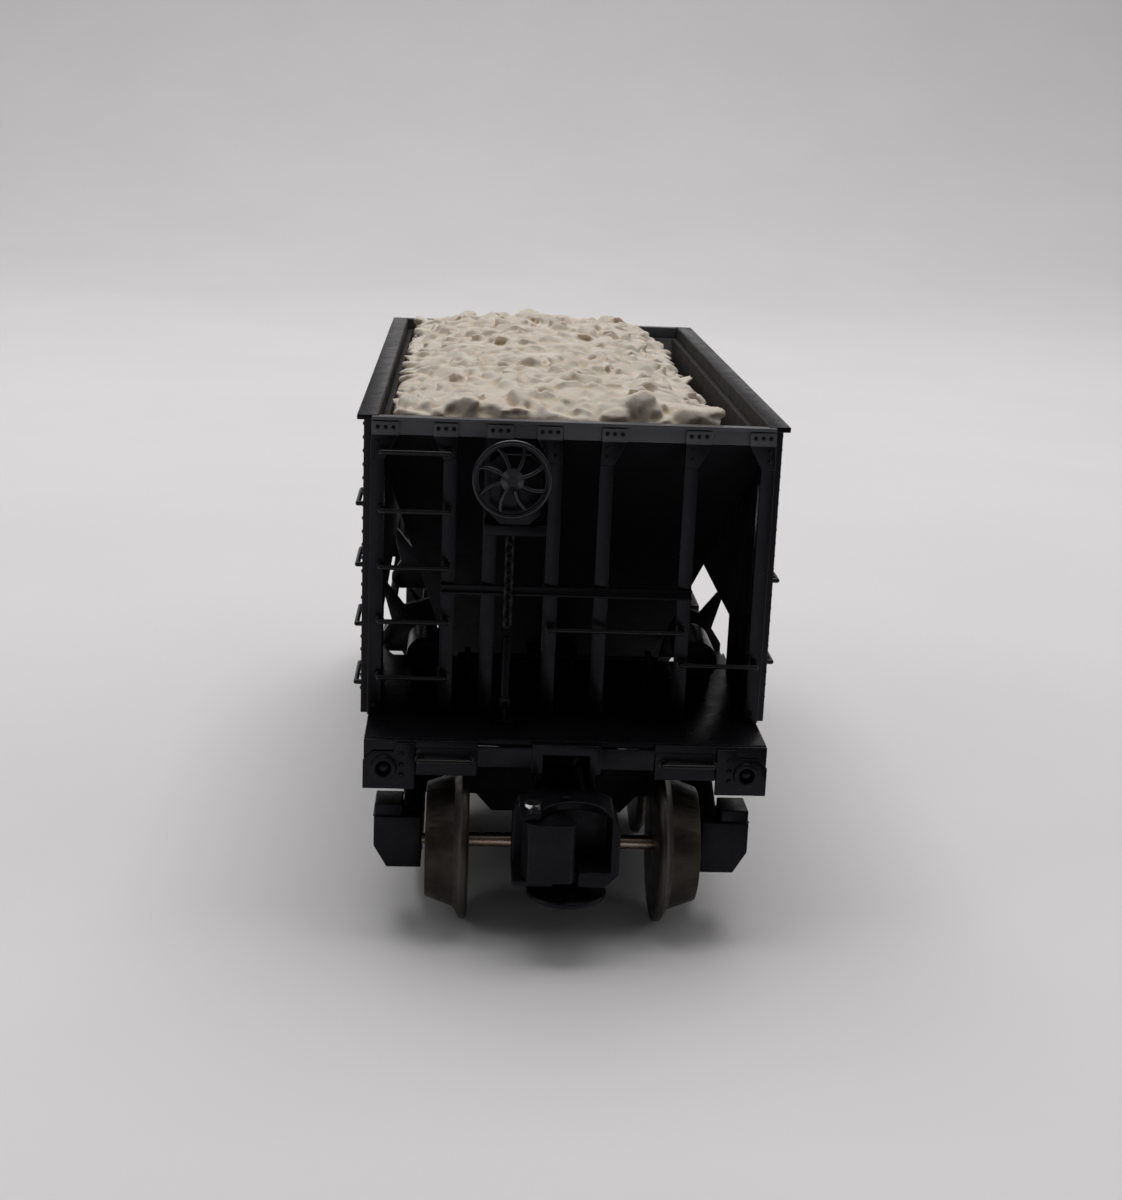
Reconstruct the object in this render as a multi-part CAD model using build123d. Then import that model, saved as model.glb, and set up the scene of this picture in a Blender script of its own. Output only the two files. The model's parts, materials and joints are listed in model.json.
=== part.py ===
from build123d import *
import os

# Open hopper car, O gauge. Millimetres, +Z up, floor at z = 0 under the wheel flanges.
# X runs across the car and Y along it. The brake end is at -Y and mid-car is the origin.
# Places along the car are written as v, the distance inwards from the body end plane, so
# the sill and the coupler have negative v. Each end is built at -Y, and the other end is
# the same piece turned half a turn about Z.

# Driving dimensions
BODY_LENGTH = 130.0
BODY_WIDTH = 60.0
BODY_TOP = 76.3
RIM_OVERHANG = 2.2
SHEET = 1.0
SILL_REACH = 11.6
DECK_TOP = 30.0
DECK_THICK = 1.0
DECK_END_V = 32.0
DECK_CORNER = (2.6, 6.0)
WHEEL_BACK_TO_BACK = 28.3
FLANGE_RADIUS = 12.0
TRUCK_CENTRE_V = 12.2
WHEELBASE = 35.6
LOAD_CROWN = 81.0
LOAD_BASE = 58.0
LOAD_SHIFT = -2.3
LOAD_HOLLOW = (20.0, 42.0, 73.0)

# Stone heap above the rim, as steps of (z, half width, half length)
HEAP_STEPS = [
    (74.0, 25.6, 62.0),
    (77.5, 23.4, 60.5),
    (79.5, 20.0, 56.0),
    (LOAD_CROWN, 10.0, 40.0),
]

# Shared clearances
RUNNING_GAP = 0.05
CASTING_GAP = 0.3

HALF_LENGTH = BODY_LENGTH / 2
HALF_WIDTH = BODY_WIDTH / 2
SHEET_INNER = HALF_WIDTH - SHEET

# Hopper funnel: lower (outer) surface of the end slope sheets and of the side slopes
SLOPE_TOP_V = 1.0
SLOPE_TOP_Z = 74.0
KNEE_Z = 70.0
OUTLET_Z = 17.0
OUTLET_HALF_X = 16.4
OUTLET_HALF_Y = 8.0
SPOUT_BOTTOM = 14.0
LUG_THICK = 0.9
LUG_MARGIN = 1.1
SLOPE_RUN = (HALF_LENGTH - OUTLET_HALF_Y - SLOPE_TOP_V) / (SLOPE_TOP_Z - OUTLET_Z)

# Body sides
SIDE_BOTTOM = 39.5
LEG_V = 28.0
RIM_THICK = 0.8
RIB_COUNT = 11
RIB_WIDTH = 2.1
RIB_DEPTH = 1.2
RIB_FIRST_V = 1.6

# End frame: centre x of each post, and the left and right edges of its chord gusset
CHORD_BOTTOM = 73.5
CHORD_FACE_V = -0.5
POST_X = [-29.1, -18.3, -12.2, -2.7, 4.9, 17.6, 29.1]
BRAKE_POST = 2
LEFT_LEG_POSTS = (1, 3, 6)
GUSSET_X = [
    (-30.0, -25.9),
    (-20.9, -17.2),
    (-13.0, -9.1),
    (-5.6, -1.8),
    (4.0, 7.8),
    (16.5, 20.4),
    (26.1, 30.0),
]
GUSSET_DROP = 3.6
GUSSET_THICK = 0.35
POST_WIDTH = 2.1
POST_THICK = 0.5
POST_LEG = 1.8
BAR_Z = (49.7, 51.1)
BAR_THICK = 0.6
BAR_FOOT = (0.7, 0.45)
CHORD_LIP = 0.5

# Ladder rungs and grab irons
WIRE = 0.75
WIRE_STANDOFF = 1.5
END_RUNG_Z = [71.2, 62.3, 53.7, 45.3, 36.5]
END_RUNG_X = (-28.4, -18.4)
SIDE_RUNG_Z = [62.6, 53.2, 43.9, 34.6]
SIDE_RUNG_V = (1.6, 11.6)
SIDE_RUNG_REACH = 32.0
SIDE_GRAB_Z = [52.4, 39.4]
SIDE_GRAB_V = (1.6, 9.6)
END_GRAB_Z = 44.6
CORNER_GRAB_Z = 39.5
SILL_GRAB_X = (14.4, 21.8)
SILL_GRAB_Z = 27.3
BOLT_RADIUS = 0.65
BOLT_HEIGHT = 0.4

# Underframe
CENTRE_SILL_HALF = 4.5
CENTRE_SILL_BOTTOM = 20.5
CENTRE_SILL_WALL = 1.0
CENTRE_SILL_PAD = 4.0
SIDE_SILL_DEPTH = 1.5
SIDE_SILL_WIDTH = 1.5
SIDE_SILL_END_V = 57.0
BEARER_V = (42.2, 43.8)
BEARER_NECK = (26.1, 35.8)
BEARER_WAIST = (28.2, 33.1)
BEARER_HEEL_Z = 30.4
BEARER_TOP_Z = 37.3
END_SILL_THICK = 0.8
SILL_PLATE_X = (13.2, 22.3)
SILL_PLATE_Z = (24.6, 29.9)
SILL_PLATE_THICK = 0.4
SILL_PLATE_DROP = 1.2
SILL_MIDDLE_Z = (25.9, 29.0)
STRIKER_HALF = 5.1
STRIKER_Z = (25.4, 29.9)
STRIKER_PROUD = 1.0
STRIKER_WALL = 1.6
POCKET_X = (22.4, 30.1)
POCKET_Z = (22.4, 28.2)
POCKET_CENTRE = (27.0, 25.8)
POCKET_RADIUS = 1.9
POCKET_HOLE = 1.15
POCKET_PROUD = 0.7
POCKET_PLATE = 0.5
POCKET_STEP = 1.4
BOLSTER_HALF_V = 2.5
BOLSTER_HALF_X = 27.0
BOLSTER_TIP = 2.5
BOLSTER_KNEE_X = 9.0
CENTRE_PLATE_RADIUS = 4.3

# Hand brake
WHEEL_CENTRE = (-9.2, 68.1)
HANDWHEEL_RADIUS = 5.9
HANDWHEEL_V = -4.8
HANDWHEEL_RIM = 0.36
FLANGE_RING_INNER = 4.95
FLANGE_RING_THICK = 0.35
SPOKE_COUNT = 8
SPOKE_FIRST_TURN = 27.0
SPOKE_SWIRL = 8.0
SPOKE_RADIUS = 0.3
HUB_RADIUS = 1.7
HUB_HEIGHT = 1.0
HUB_DOME = 0.7
BRAKE_SHAFT_RADIUS = 0.7
HOUSING_CUT = 1.6
BOSS_RADIUS = 1.5
BOSS_PROUD = 0.5
SHAFT_ENGAGED = 1.6
HOUSING_X = (-12.3, -4.9)
HOUSING_Z = (61.0, 71.6)
HOUSING_FRONT_V = -3.4
SHELF_X = (-13.1, -4.0)
SHELF_Z = (59.4, 61.0)
SHELF_THICK = 0.6
SHELF_LIP = 0.5
SHELF_SLOT = 0.8
CHAIN_V = -2.6
CHAIN_TOP = 59.4
CHAIN_BOTTOM = 45.2
CHAIN_SPIN = 45.0
CHAIN_LINKS = 11
LINK_WIRE = 0.38
LINK_LENGTH = 2.06
LINK_WIDTH = 1.8
ROD_BOTTOM = 33.4
ROD_TOP = 43.6
ROD_RADIUS = 0.65
FORK = (1.6, 1.8, 1.6)
FORK_SLOT = (0.7, 3.0, 1.2)
CRANK_TOP = 32.4
CRANK_HALF = (0.3, 0.8)
CRANK_FOOT = (1.4, 1.2, 0.6)

# Brake gear on the deck
SHAFT_V = 20.0
SHAFT_Z = 33.7
SHAFT_HALF = 16.4
SHAFT_RADIUS = 0.5
SHAFT_BRACKET = (0.5, 1.3, 1.1)
SHAFT_LEVER_X = (1.6, 2.4)
SADDLE_INSET = 2.2
RESERVOIR = (22.9, 33.8, 3.3)
RESERVOIR_V = (18.5, 31.8)
CYLINDER = (-22.0, 33.4, 2.9)
CYLINDER_V = (20.0, 31.0)

# Discharge doors
DOOR_HINGE_Y = 9.2
DOOR_HINGE_Z = 13.2
DOOR_HALF_X = 16.0
DOOR_THICK = 1.0
DOOR_KNUCKLE = 0.9
DOOR_PIN = 0.45
DOOR_RIB_X = (-9.0, 0.0, 9.0)
DOOR_RIB = (0.5, 0.6)

# Trucks
AXLE_Z = FLANGE_RADIUS
AXLE_RADIUS = 1.1
JOURNAL_RADIUS = 0.8
AXLE_HALF = 26.6
WHEEL_WIDTH = 6.5
FLANGE_WIDTH = 2.2
TREAD_RADIUS = 10.2
RIM_EDGE_RADIUS = 8.7
FRAME_INNER = 21.3
FRAME_OUTER = 24.2
BOX_OUTER = 28.5
BOX_Z = (8.5, 18.6)
BOX_HALF_V = 3.2
BOX_LID = 1.9
TRUCK_BOLSTER_TOP = 18.5
KINGPIN_RADIUS = 1.5
KINGPIN_GAP = 0.1
KINGPIN_TOP = 27.0
SCREW_HEAD = (2.6, 8.6, 10.4)
SCREW_SLOT = (0.35, 0.6)
BOLSTER_UNDERSIDE = 13.6
BOLSTER_BELLY = (10.5, 10.8)
TONGUE_HALF = 3.4
SPRING_Z = (7.6, 13.5)
SPRING_SPACING = 1.7
SPRING_COILS = 4
SPRING_CORE = 0.9
SPRING_COIL = (1.05, 0.42)
CAP_TOP = 16.2
CAP_HALF_V = 3.3

# Coupler, measured from the body end plane like everything else
HEAD_HALF = 7.8
HEAD_Z = (11.3, 22.8)
HEAD_V = (-21.6, -12.0)
HEAD_WALL = 1.3
HEAD_BACK = 2.0
KNUCKLE_PIN = (-5.0, -18.6)
KNUCKLE_PIN_RADIUS = 0.8
KNUCKLE_Z = (12.4, 21.3)
COUPLER_PIVOT_V = 2.6
SHANK_HALF = 2.6
SHANK_Z = (14.2, 17.0)
PIVOT_STUD = 1.2
PIVOT_WASHER = 2.0
HOOD_CORNER = 3.0
HOOD_MOUTH_Z = (12.2, 13.6)
HOOD_ARC = 5.2
HOOD_HOLE = (0.0, -15.5, 0.55)
TACK_BOSS = 1.5
TACK_STEM_RADIUS = 0.6
TACK_CENTRE = (0.4, -17.6)
TACK_STEM = (0.6, -15.4)
TACK_RADIUS = 5.9
TACK_Z = (8.6, 9.5)
TACK_STEM_TOP = 17.0
PIN_HEAD = (1.3, 0.45)


def block(x, y, z):
    """Box between the given (low, high) pairs, in any order."""
    spans = [sorted(pair) for pair in (x, y, z)]
    centre = [(low + high) / 2 for low, high in spans]
    size = [high - low for low, high in spans]
    return Pos(*centre) * Box(*size)


def along(v):
    """Y of a place v inwards from the -Y body end plane."""
    return v - HALF_LENGTH


def end_block(x, v, z):
    """Box between (low, high) pairs, with its length given in v."""
    return block(x, (along(v[0]), along(v[1])), z)


def mirror_x(shape):
    """The shape on the other side of the car."""
    return shape.mirror(Plane.YZ)


def other_end(shape):
    """The shape turned half a turn about Z, at the other end of the car."""
    return Rotation(0, 0, 180) * shape


def rod(start, finish, radius):
    """Round bar between two points."""
    line = Vector(*finish) - Vector(*start)
    plane = Plane(origin=start, z_dir=line)
    bar = Cylinder(radius, line.length, align=(Align.CENTER, Align.CENTER, Align.MIN))
    return plane.location * bar


def plate_xz(points, v):
    """Plate with an outline of (x, z) points, from v[0] to v[1]."""
    face = make_face(Polyline([(x, along(v[0]), z) for x, z in points], close=True))
    return extrude(face, amount=v[1] - v[0], dir=(0, 1, 0))


def plate_yz(points, x):
    """Plate with an outline of (v, z) points, from x[0] to x[1]."""
    face = make_face(Polyline([(x[0], along(v), z) for v, z in points], close=True))
    return extrude(face, amount=x[1] - x[0], dir=(1, 0, 0))


def plate_xy(points, z):
    """Plate with an outline of (x, v) points, from z[0] to z[1]."""
    face = make_face(Polyline([(x, along(v), z[0]) for x, v in points], close=True))
    return extrude(face, amount=z[1] - z[0], dir=(0, 0, 1))


def wire_grab(start, finish, start_foot, finish_foot):
    """Straight wire from start to finish, with a foot from each end to the given point."""
    radius = WIRE / 2
    bar = rod(start, finish, radius)
    bar += rod(start, start_foot, radius)
    bar += rod(finish, finish_foot, radius)
    bar += Pos(*start) * Sphere(radius)
    bar += Pos(*finish) * Sphere(radius)
    return bar


def slope_v(z):
    """v of the end slope sheet's outer surface at height z."""
    return SLOPE_TOP_V + (SLOPE_TOP_Z - z) * SLOPE_RUN


def funnel_half_x(z):
    """Half width of the funnel's outer surface at height z."""
    rise = (min(z, KNEE_Z) - OUTLET_Z) / (KNEE_Z - OUTLET_Z)
    return OUTLET_HALF_X + rise * (SHEET_INNER - OUTLET_HALF_X)


def funnel_block(z_low, z_high, inset):
    """Tapered block between two heights, with its walls moved in by inset."""
    faces = []
    for z in (z_low, z_high):
        width = 2 * (funnel_half_x(z) - inset)
        length = 2 * (HALF_LENGTH - slope_v(z) - inset)
        faces.append((Pos(0, 0, z) * Rectangle(width, length)).face())
    return loft(faces, ruled=True)


# ---------------------------------------------------------------- hopper body


def make_funnel():
    """Slope sheets, inner side slopes and the outlet spout with its hinge lugs."""
    inset = SHEET
    shell = funnel_block(OUTLET_Z, KNEE_Z, 0) - funnel_block(OUTLET_Z, KNEE_Z, inset)
    collar = funnel_block(KNEE_Z, SLOPE_TOP_Z, 0) - funnel_block(KNEE_Z, SLOPE_TOP_Z, inset)
    shell += collar
    x, y = OUTLET_HALF_X, OUTLET_HALF_Y
    spout = block((-x, x), (-y, y), (SPOUT_BOTTOM, OUTLET_Z))
    spout -= block((-x + inset, x - inset), (-y + inset, y - inset), (SPOUT_BOTTOM, OUTLET_Z))
    shell += spout
    lug_reach = DOOR_HINGE_Y + LUG_MARGIN
    lug_low = DOOR_HINGE_Z - LUG_MARGIN
    for side in (-1, 1):
        lug_x = (side * x, side * (x + LUG_THICK))
        lug = block(lug_x, (-lug_reach, lug_reach), (lug_low, OUTLET_Z))
        gap_y = y - 2 * SHEET
        lug -= block(lug_x, (-gap_y, gap_y), (lug_low, SPOUT_BOTTOM))
        shell += lug
    for y_hinge in (-DOOR_HINGE_Y, DOOR_HINGE_Y):
        start = (-x - LUG_THICK, y_hinge, DOOR_HINGE_Z)
        finish = (x + LUG_THICK, y_hinge, DOOR_HINGE_Z)
        shell -= rod(start, finish, DOOR_PIN)
    return shell


def make_side():
    """Left side: sheet with its end legs, top flange and vertical ribs."""
    leg_y = HALF_LENGTH - LEG_V
    outer, inner = -HALF_WIDTH, -SHEET_INNER
    top = BODY_TOP - RIM_THICK
    side = block((outer, inner), (-HALF_LENGTH, HALF_LENGTH), (DECK_TOP, top))
    side -= block((outer, inner), (-leg_y, leg_y), (DECK_TOP, SIDE_BOTTOM))
    rim_x = (outer - RIM_OVERHANG, inner)
    side += block(rim_x, (-HALF_LENGTH, HALF_LENGTH), (top, BODY_TOP))
    span = HALF_LENGTH - RIB_FIRST_V
    for index in range(RIB_COUNT):
        centre = -span + 2 * span * index / (RIB_COUNT - 1)
        foot = DECK_TOP if abs(centre) > leg_y else SIDE_BOTTOM
        edges = (centre - RIB_WIDTH / 2, centre + RIB_WIDTH / 2)
        side += block((outer - RIB_DEPTH, outer), edges, (foot, top))
    return side


def make_end_chord():
    """Angle along the top of the end, with the gusset plates that carry the posts."""
    top = BODY_TOP - 0.1
    x_span = (-HALF_WIDTH + SHEET, HALF_WIDTH - SHEET)
    chord = end_block(x_span, (CHORD_FACE_V, SLOPE_TOP_V - 0.1), (CHORD_BOTTOM, top))
    cover_x = (-HALF_WIDTH, HALF_WIDTH)
    chord += end_block(cover_x, (CHORD_FACE_V, 0), (CHORD_BOTTOM, top))
    lip = end_block(cover_x, (CHORD_FACE_V - CHORD_LIP, 0), (top - CHORD_LIP, top))
    return chord + lip


def gusset(index):
    """Chord plate that narrows downwards to the width of its post."""
    left, right = GUSSET_X[index]
    post_left = POST_X[index] - POST_WIDTH / 2
    post_right = POST_X[index] + POST_WIDTH / 2
    low = CHORD_BOTTOM - GUSSET_DROP
    high = BODY_TOP - 0.8
    outline = [(left, CHORD_BOTTOM), (left, high), (right, high), (right, CHORD_BOTTOM)]
    outline += [(post_right, low), (post_left, low)]
    return plate_xz(outline, (CHORD_FACE_V - GUSSET_THICK, CHORD_FACE_V))


def post(index, leg_on_left):
    """Angle-section end post from the deck to the chord, with its gusset."""
    left = POST_X[index] - POST_WIDTH / 2
    right = POST_X[index] + POST_WIDTH / 2
    top = CHORD_BOTTOM
    back_v = CHORD_FACE_V + POST_THICK
    face = end_block((left, right), (CHORD_FACE_V, back_v), (DECK_TOP, top))
    leg_x = (left, left + POST_THICK) if leg_on_left else (right - POST_THICK, right)
    leg_top = SLOPE_TOP_Z - (POST_LEG - SLOPE_TOP_V) / SLOPE_RUN - CASTING_GAP
    leg = end_block(leg_x, (CHORD_FACE_V, POST_LEG), (DECK_TOP, leg_top))
    return face + leg + gusset(index)


def make_end_posts(brake_end):
    """All the posts of one end. Only the brake end has the third post."""
    posts = []
    for index in range(len(POST_X)):
        if index == BRAKE_POST and not brake_end:
            continue
        posts.append(post(index, index in LEFT_LEG_POSTS))
    return posts


def make_end_bar():
    """Cross angle in front of the posts."""
    x = (POST_X[1] - POST_WIDTH / 2, POST_X[5] + POST_WIDTH / 2)
    front = CHORD_FACE_V - BAR_THICK
    bar = end_block(x, (front, CHORD_FACE_V), BAR_Z)
    foot_reach, foot_thick = BAR_FOOT
    return bar + end_block(x, (front - foot_reach, front), (BAR_Z[0], BAR_Z[0] + foot_thick))


def bolt_head(x, v, z):
    """Round bolt head that stands out from a face at v."""
    centre = (x, along(v), z)
    return rod(centre, (x, along(v) - BOLT_HEIGHT, z), BOLT_RADIUS)


def end_wire(x, z, face_v):
    """Horizontal wire in front of the end, with a bolt head over each foot."""
    front, face = along(face_v - WIRE_STANDOFF), along(face_v)
    wire = wire_grab((x[0], front, z), (x[1], front, z), (x[0], face, z), (x[1], face, z))
    for foot_x in x:
        wire += bolt_head(foot_x, face_v, z)
    return wire


def make_end_grabs():
    """Ladder rungs, end grab irons and the two sill grab irons of one end."""
    face = CHORD_FACE_V
    wires = [end_wire(END_RUNG_X, z, face) for z in END_RUNG_Z[1:]]
    wires.append(end_wire(END_RUNG_X, END_RUNG_Z[0], face - GUSSET_THICK))
    wires.append(end_wire((POST_X[3], POST_X[5]), END_GRAB_Z, face))
    wires.append(end_wire((POST_X[5], POST_X[6]), CORNER_GRAB_Z, face))
    sill_face = -SILL_REACH - SILL_PLATE_THICK
    for side in (-1, 1):
        x = tuple(side * edge for edge in SILL_GRAB_X)
        wires.append(end_wire(x, SILL_GRAB_Z, sill_face))
    return wires


def side_wire(z, v, side):
    """Wire along one side of the body, from the corner rib to the sheet behind it."""
    x = side * SIDE_RUNG_REACH
    rib_x, sheet_x = side * (HALF_WIDTH + RIB_DEPTH), side * HALF_WIDTH
    near, far = along(v[0]), along(v[1])
    return wire_grab((x, near, z), (x, far, z), (rib_x, near, z), (sheet_x, far, z))


def make_side_ladder():
    """Ladder rungs at the left front corner, behind the corner rib."""
    return [side_wire(z, SIDE_RUNG_V, -1) for z in SIDE_RUNG_Z]


def make_side_grabs():
    """Two grab irons at the right front corner."""
    return [side_wire(z, SIDE_GRAB_V, 1) for z in SIDE_GRAB_Z]


# ---------------------------------------------------------------- underframe


def make_deck():
    """Deck plate of one end. Its inner corners run further back along the sides."""
    outer_v = END_SILL_THICK - SILL_REACH
    corner_x, corner_v = DECK_CORNER
    straight = HALF_WIDTH - corner_x
    side_v = DECK_END_V + corner_v
    outline = [(-HALF_WIDTH, outer_v), (HALF_WIDTH, outer_v), (HALF_WIDTH, side_v)]
    outline += [(straight, DECK_END_V), (-straight, DECK_END_V), (-HALF_WIDTH, side_v)]
    return plate_xy(outline, (DECK_TOP - DECK_THICK, DECK_TOP))


def bearer(side):
    """Plate from the funnel out to one side sill, with a brace up to the side sheet."""
    low = DECK_TOP - DECK_THICK - SIDE_SILL_DEPTH
    gap = CASTING_GAP
    outline = [(funnel_half_x(low) + gap, low), (funnel_half_x(BEARER_TOP_Z) + gap, BEARER_TOP_Z)]
    outline += [BEARER_NECK, (SHEET_INNER, SIDE_BOTTOM), (HALF_WIDTH, SIDE_BOTTOM)]
    outline += [BEARER_WAIST, (HALF_WIDTH, BEARER_HEEL_Z), (HALF_WIDTH, low)]
    return plate_xz([(side * x, z) for x, z in outline], BEARER_V)


def make_side_sills():
    """Side sills of one end, each with a bearer that holds up the side sheet."""
    low = DECK_TOP - DECK_THICK - SIDE_SILL_DEPTH
    high = DECK_TOP - DECK_THICK
    sills = []
    for side in (-1, 1):
        x = (side * (HALF_WIDTH - SIDE_SILL_WIDTH), side * HALF_WIDTH)
        sill = end_block(x, (END_SILL_THICK - SILL_REACH, SIDE_SILL_END_V), (low, high))
        sills.append(sill + bearer(side))
    return sills


def make_centre_sill():
    """Box girder under the deck of one end, cut to the slope sheet."""
    high = DECK_TOP - DECK_THICK
    low = CENTRE_SILL_BOTTOM
    outer_v = END_SILL_THICK - SILL_REACH
    outline = [(outer_v, low), (outer_v, high), (slope_v(high) - CASTING_GAP, high)]
    outline.append((slope_v(low) - CASTING_GAP, low))
    half = CENTRE_SILL_HALF
    inner = half - CENTRE_SILL_WALL
    girder = plate_yz(outline, (-half, half))
    hollow = end_block((-inner, inner), (outer_v, HALF_LENGTH), (low - 1, high - CENTRE_SILL_WALL))
    pad_v = (TRUCK_CENTRE_V - CENTRE_SILL_PAD, TRUCK_CENTRE_V + CENTRE_SILL_PAD)
    pad = end_block((-half, half), pad_v, (low, high))
    return girder - hollow + pad - kingpin_hole(KINGPIN_RADIUS)


def kingpin_hole(radius):
    """Bore for the kingpin screw, up to its end in the centre sill."""
    centre = along(TRUCK_CENTRE_V)
    return rod((0, centre, 0), (0, centre, KINGPIN_TOP), radius)


def make_body_bolster():
    """Cross beam over one truck, in two arms beside the centre sill, with its centre plate."""
    v = (TRUCK_CENTRE_V - BOLSTER_HALF_V, TRUCK_CENTRE_V + BOLSTER_HALF_V)
    high = DECK_TOP - DECK_THICK
    arms = []
    for side in (-1, 1):
        near, far = side * CENTRE_SILL_HALF, side * BOLSTER_HALF_X
        outline = [(near, high), (near, CENTRE_SILL_BOTTOM)]
        outline += [(side * BOLSTER_KNEE_X, CENTRE_SILL_BOTTOM + 1)]
        outline += [(far, high - BOLSTER_TIP), (far, high)]
        arms.append(plate_xz(outline, v))
    low = TRUCK_BOLSTER_TOP + 0.1
    height = CENTRE_SILL_BOTTOM - low
    plate = Cylinder(CENTRE_PLATE_RADIUS, height, align=(Align.CENTER, Align.CENTER, Align.MIN))
    centre_plate = Pos(0, along(TRUCK_CENTRE_V), low) * plate
    arms.append(centre_plate - kingpin_hole(KINGPIN_RADIUS))
    return arms


def make_kingpin():
    """Screw that holds one truck, head down."""
    centre = along(TRUCK_CENTRE_V)
    head_radius, head_low, head_high = SCREW_HEAD
    slot_half, slot_depth = SCREW_SLOT
    screw = rod((0, centre, head_low), (0, centre, KINGPIN_TOP), KINGPIN_RADIUS)
    head = rod((0, centre, head_low), (0, centre, head_high), head_radius)
    slot_v = (TRUCK_CENTRE_V - slot_half, TRUCK_CENTRE_V + slot_half)
    slot = end_block((-head_radius - 1, head_radius + 1), slot_v, (head_low - 1, head_low + slot_depth))
    return screw + head - slot


def make_end_sill():
    """End sill plate with its low middle, grab iron plates and striker block."""
    front, back = -SILL_REACH, END_SILL_THICK - SILL_REACH
    top = SILL_PLATE_Z[1]
    inner_x = SILL_PLATE_X[0]
    low_mid, high_mid = SILL_MIDDLE_Z
    outline = [(-HALF_WIDTH, top), (-inner_x, top), (-inner_x, high_mid)]
    outline += [(inner_x, high_mid), (inner_x, top), (HALF_WIDTH, top)]
    outline += [(HALF_WIDTH, SILL_PLATE_Z[0]), (inner_x, SILL_PLATE_Z[0]), (inner_x, low_mid)]
    outline += [(-inner_x, low_mid), (-inner_x, SILL_PLATE_Z[0]), (-HALF_WIDTH, SILL_PLATE_Z[0])]
    sill = plate_xz(outline, (front, back))
    plate_z = (SILL_PLATE_Z[0], SILL_PLATE_Z[1] - SILL_PLATE_DROP)
    for side in (-1, 1):
        plate_x = (side * SILL_PLATE_X[0], side * SILL_PLATE_X[1])
        sill += end_block(plate_x, (front - SILL_PLATE_THICK, front), plate_z)
    half = STRIKER_HALF
    low, high = STRIKER_Z
    striker = end_block((-half, half), (front - STRIKER_PROUD, back), (low, high))
    open_half = half - STRIKER_WALL
    mouth = end_block((-open_half, open_half), (front - 2, back), (low - 1, high - STRIKER_WALL))
    return sill + striker - mouth


def make_poling_pockets():
    """Corner castings of one end, each with a round hollow pocket."""
    back = -SILL_REACH
    front = back - POCKET_PLATE
    low, high = POCKET_Z
    ear_top = high + POCKET_STEP
    castings = []
    for side in (-1, 1):
        inner, outer = (side * x for x in POCKET_X)
        x, z = side * POCKET_CENTRE[0], POCKET_CENTRE[1]
        ear_x = inner + side * 2 * POCKET_STEP
        outline = [(inner, low), (inner, ear_top), (ear_x, ear_top)]
        outline += [(ear_x + side * POCKET_PLATE, high)]
        outline += [(outer - side * POCKET_STEP, high), (outer, high - POCKET_STEP), (outer, low)]
        casting = plate_xz(outline, (front, back))
        start = (x, along(front - POCKET_PROUD), z)
        casting += rod(start, (x, along(back), z), POCKET_RADIUS)
        casting -= rod(start, (x, along(back - 0.2), z), POCKET_HOLE)
        castings.append(casting)
    return castings


# ---------------------------------------------------------------- brake gear


def make_handwheel():
    """Brake wheel with a stepped rim, bowed spokes, a domed hub and its stub shaft."""
    x, z = WHEEL_CENTRE
    rim_radius = HANDWHEEL_RADIUS - HANDWHEEL_RIM
    facing = Plane(origin=(x, along(HANDWHEEL_V), z), x_dir=(1, 0, 0), z_dir=(0, -1, 0))
    wheel = Torus(rim_radius, HANDWHEEL_RIM)
    flange = Cylinder(rim_radius, FLANGE_RING_THICK)
    flange -= Cylinder(FLANGE_RING_INNER, FLANGE_RING_THICK)
    wheel += Pos(0, 0, -HANDWHEEL_RIM) * flange
    for index in range(SPOKE_COUNT):
        turn = SPOKE_FIRST_TURN + 360 * index / SPOKE_COUNT
        inner = Vector(HUB_RADIUS * 0.7, 0, HUB_HEIGHT / 3)
        outer = Vector(rim_radius - 0.3, 0, -HANDWHEEL_RIM).rotate(Axis.Z, SPOKE_SWIRL)
        bow = Vector(rim_radius * 0.62, 0, 0)
        arc = ThreePointArc(inner, bow, outer)
        section = Plane(origin=inner, z_dir=arc % 0) * Circle(SPOKE_RADIUS)
        wheel += Rotation(0, 0, turn - SPOKE_SWIRL) * sweep(section, path=arc)
    low = (Align.CENTER, Align.CENTER, Align.MIN)
    hub_foot = -HANDWHEEL_RIM
    wheel += Pos(0, 0, hub_foot) * Cylinder(HUB_RADIUS, HUB_HEIGHT, align=low)
    dome = Cone(HUB_RADIUS, HUB_RADIUS * 0.5, HUB_DOME, align=low)
    wheel += Pos(0, 0, hub_foot + HUB_HEIGHT) * dome
    wheel = facing.location * wheel
    shaft_end = HOUSING_FRONT_V + SHAFT_ENGAGED
    shaft = rod((x, along(HANDWHEEL_V), z), (x, along(shaft_end), z), BRAKE_SHAFT_RADIUS)
    return wheel + shaft


def make_brake_housing():
    """Gear housing behind the handwheel."""
    low, high = HOUSING_Z
    left, right = HOUSING_X
    cut = HOUSING_CUT
    outline = [(left + cut, low), (left, low + cut), (left, high - cut), (left + cut, high)]
    outline += [(right - cut, high), (right, high - cut), (right, low + cut), (right - cut, low)]
    front = HOUSING_FRONT_V
    housing = plate_xz(outline, (front, CHORD_FACE_V - GUSSET_THICK))
    x, z = WHEEL_CENTRE
    boss = rod((x, along(front - BOSS_PROUD), z), (x, along(front), z), BOSS_RADIUS)
    hole_end = front + SHAFT_ENGAGED + 0.2
    hole_radius = BRAKE_SHAFT_RADIUS + RUNNING_GAP
    return housing + boss - rod((x, along(front - 1), z), (x, along(hole_end), z), hole_radius)


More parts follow.
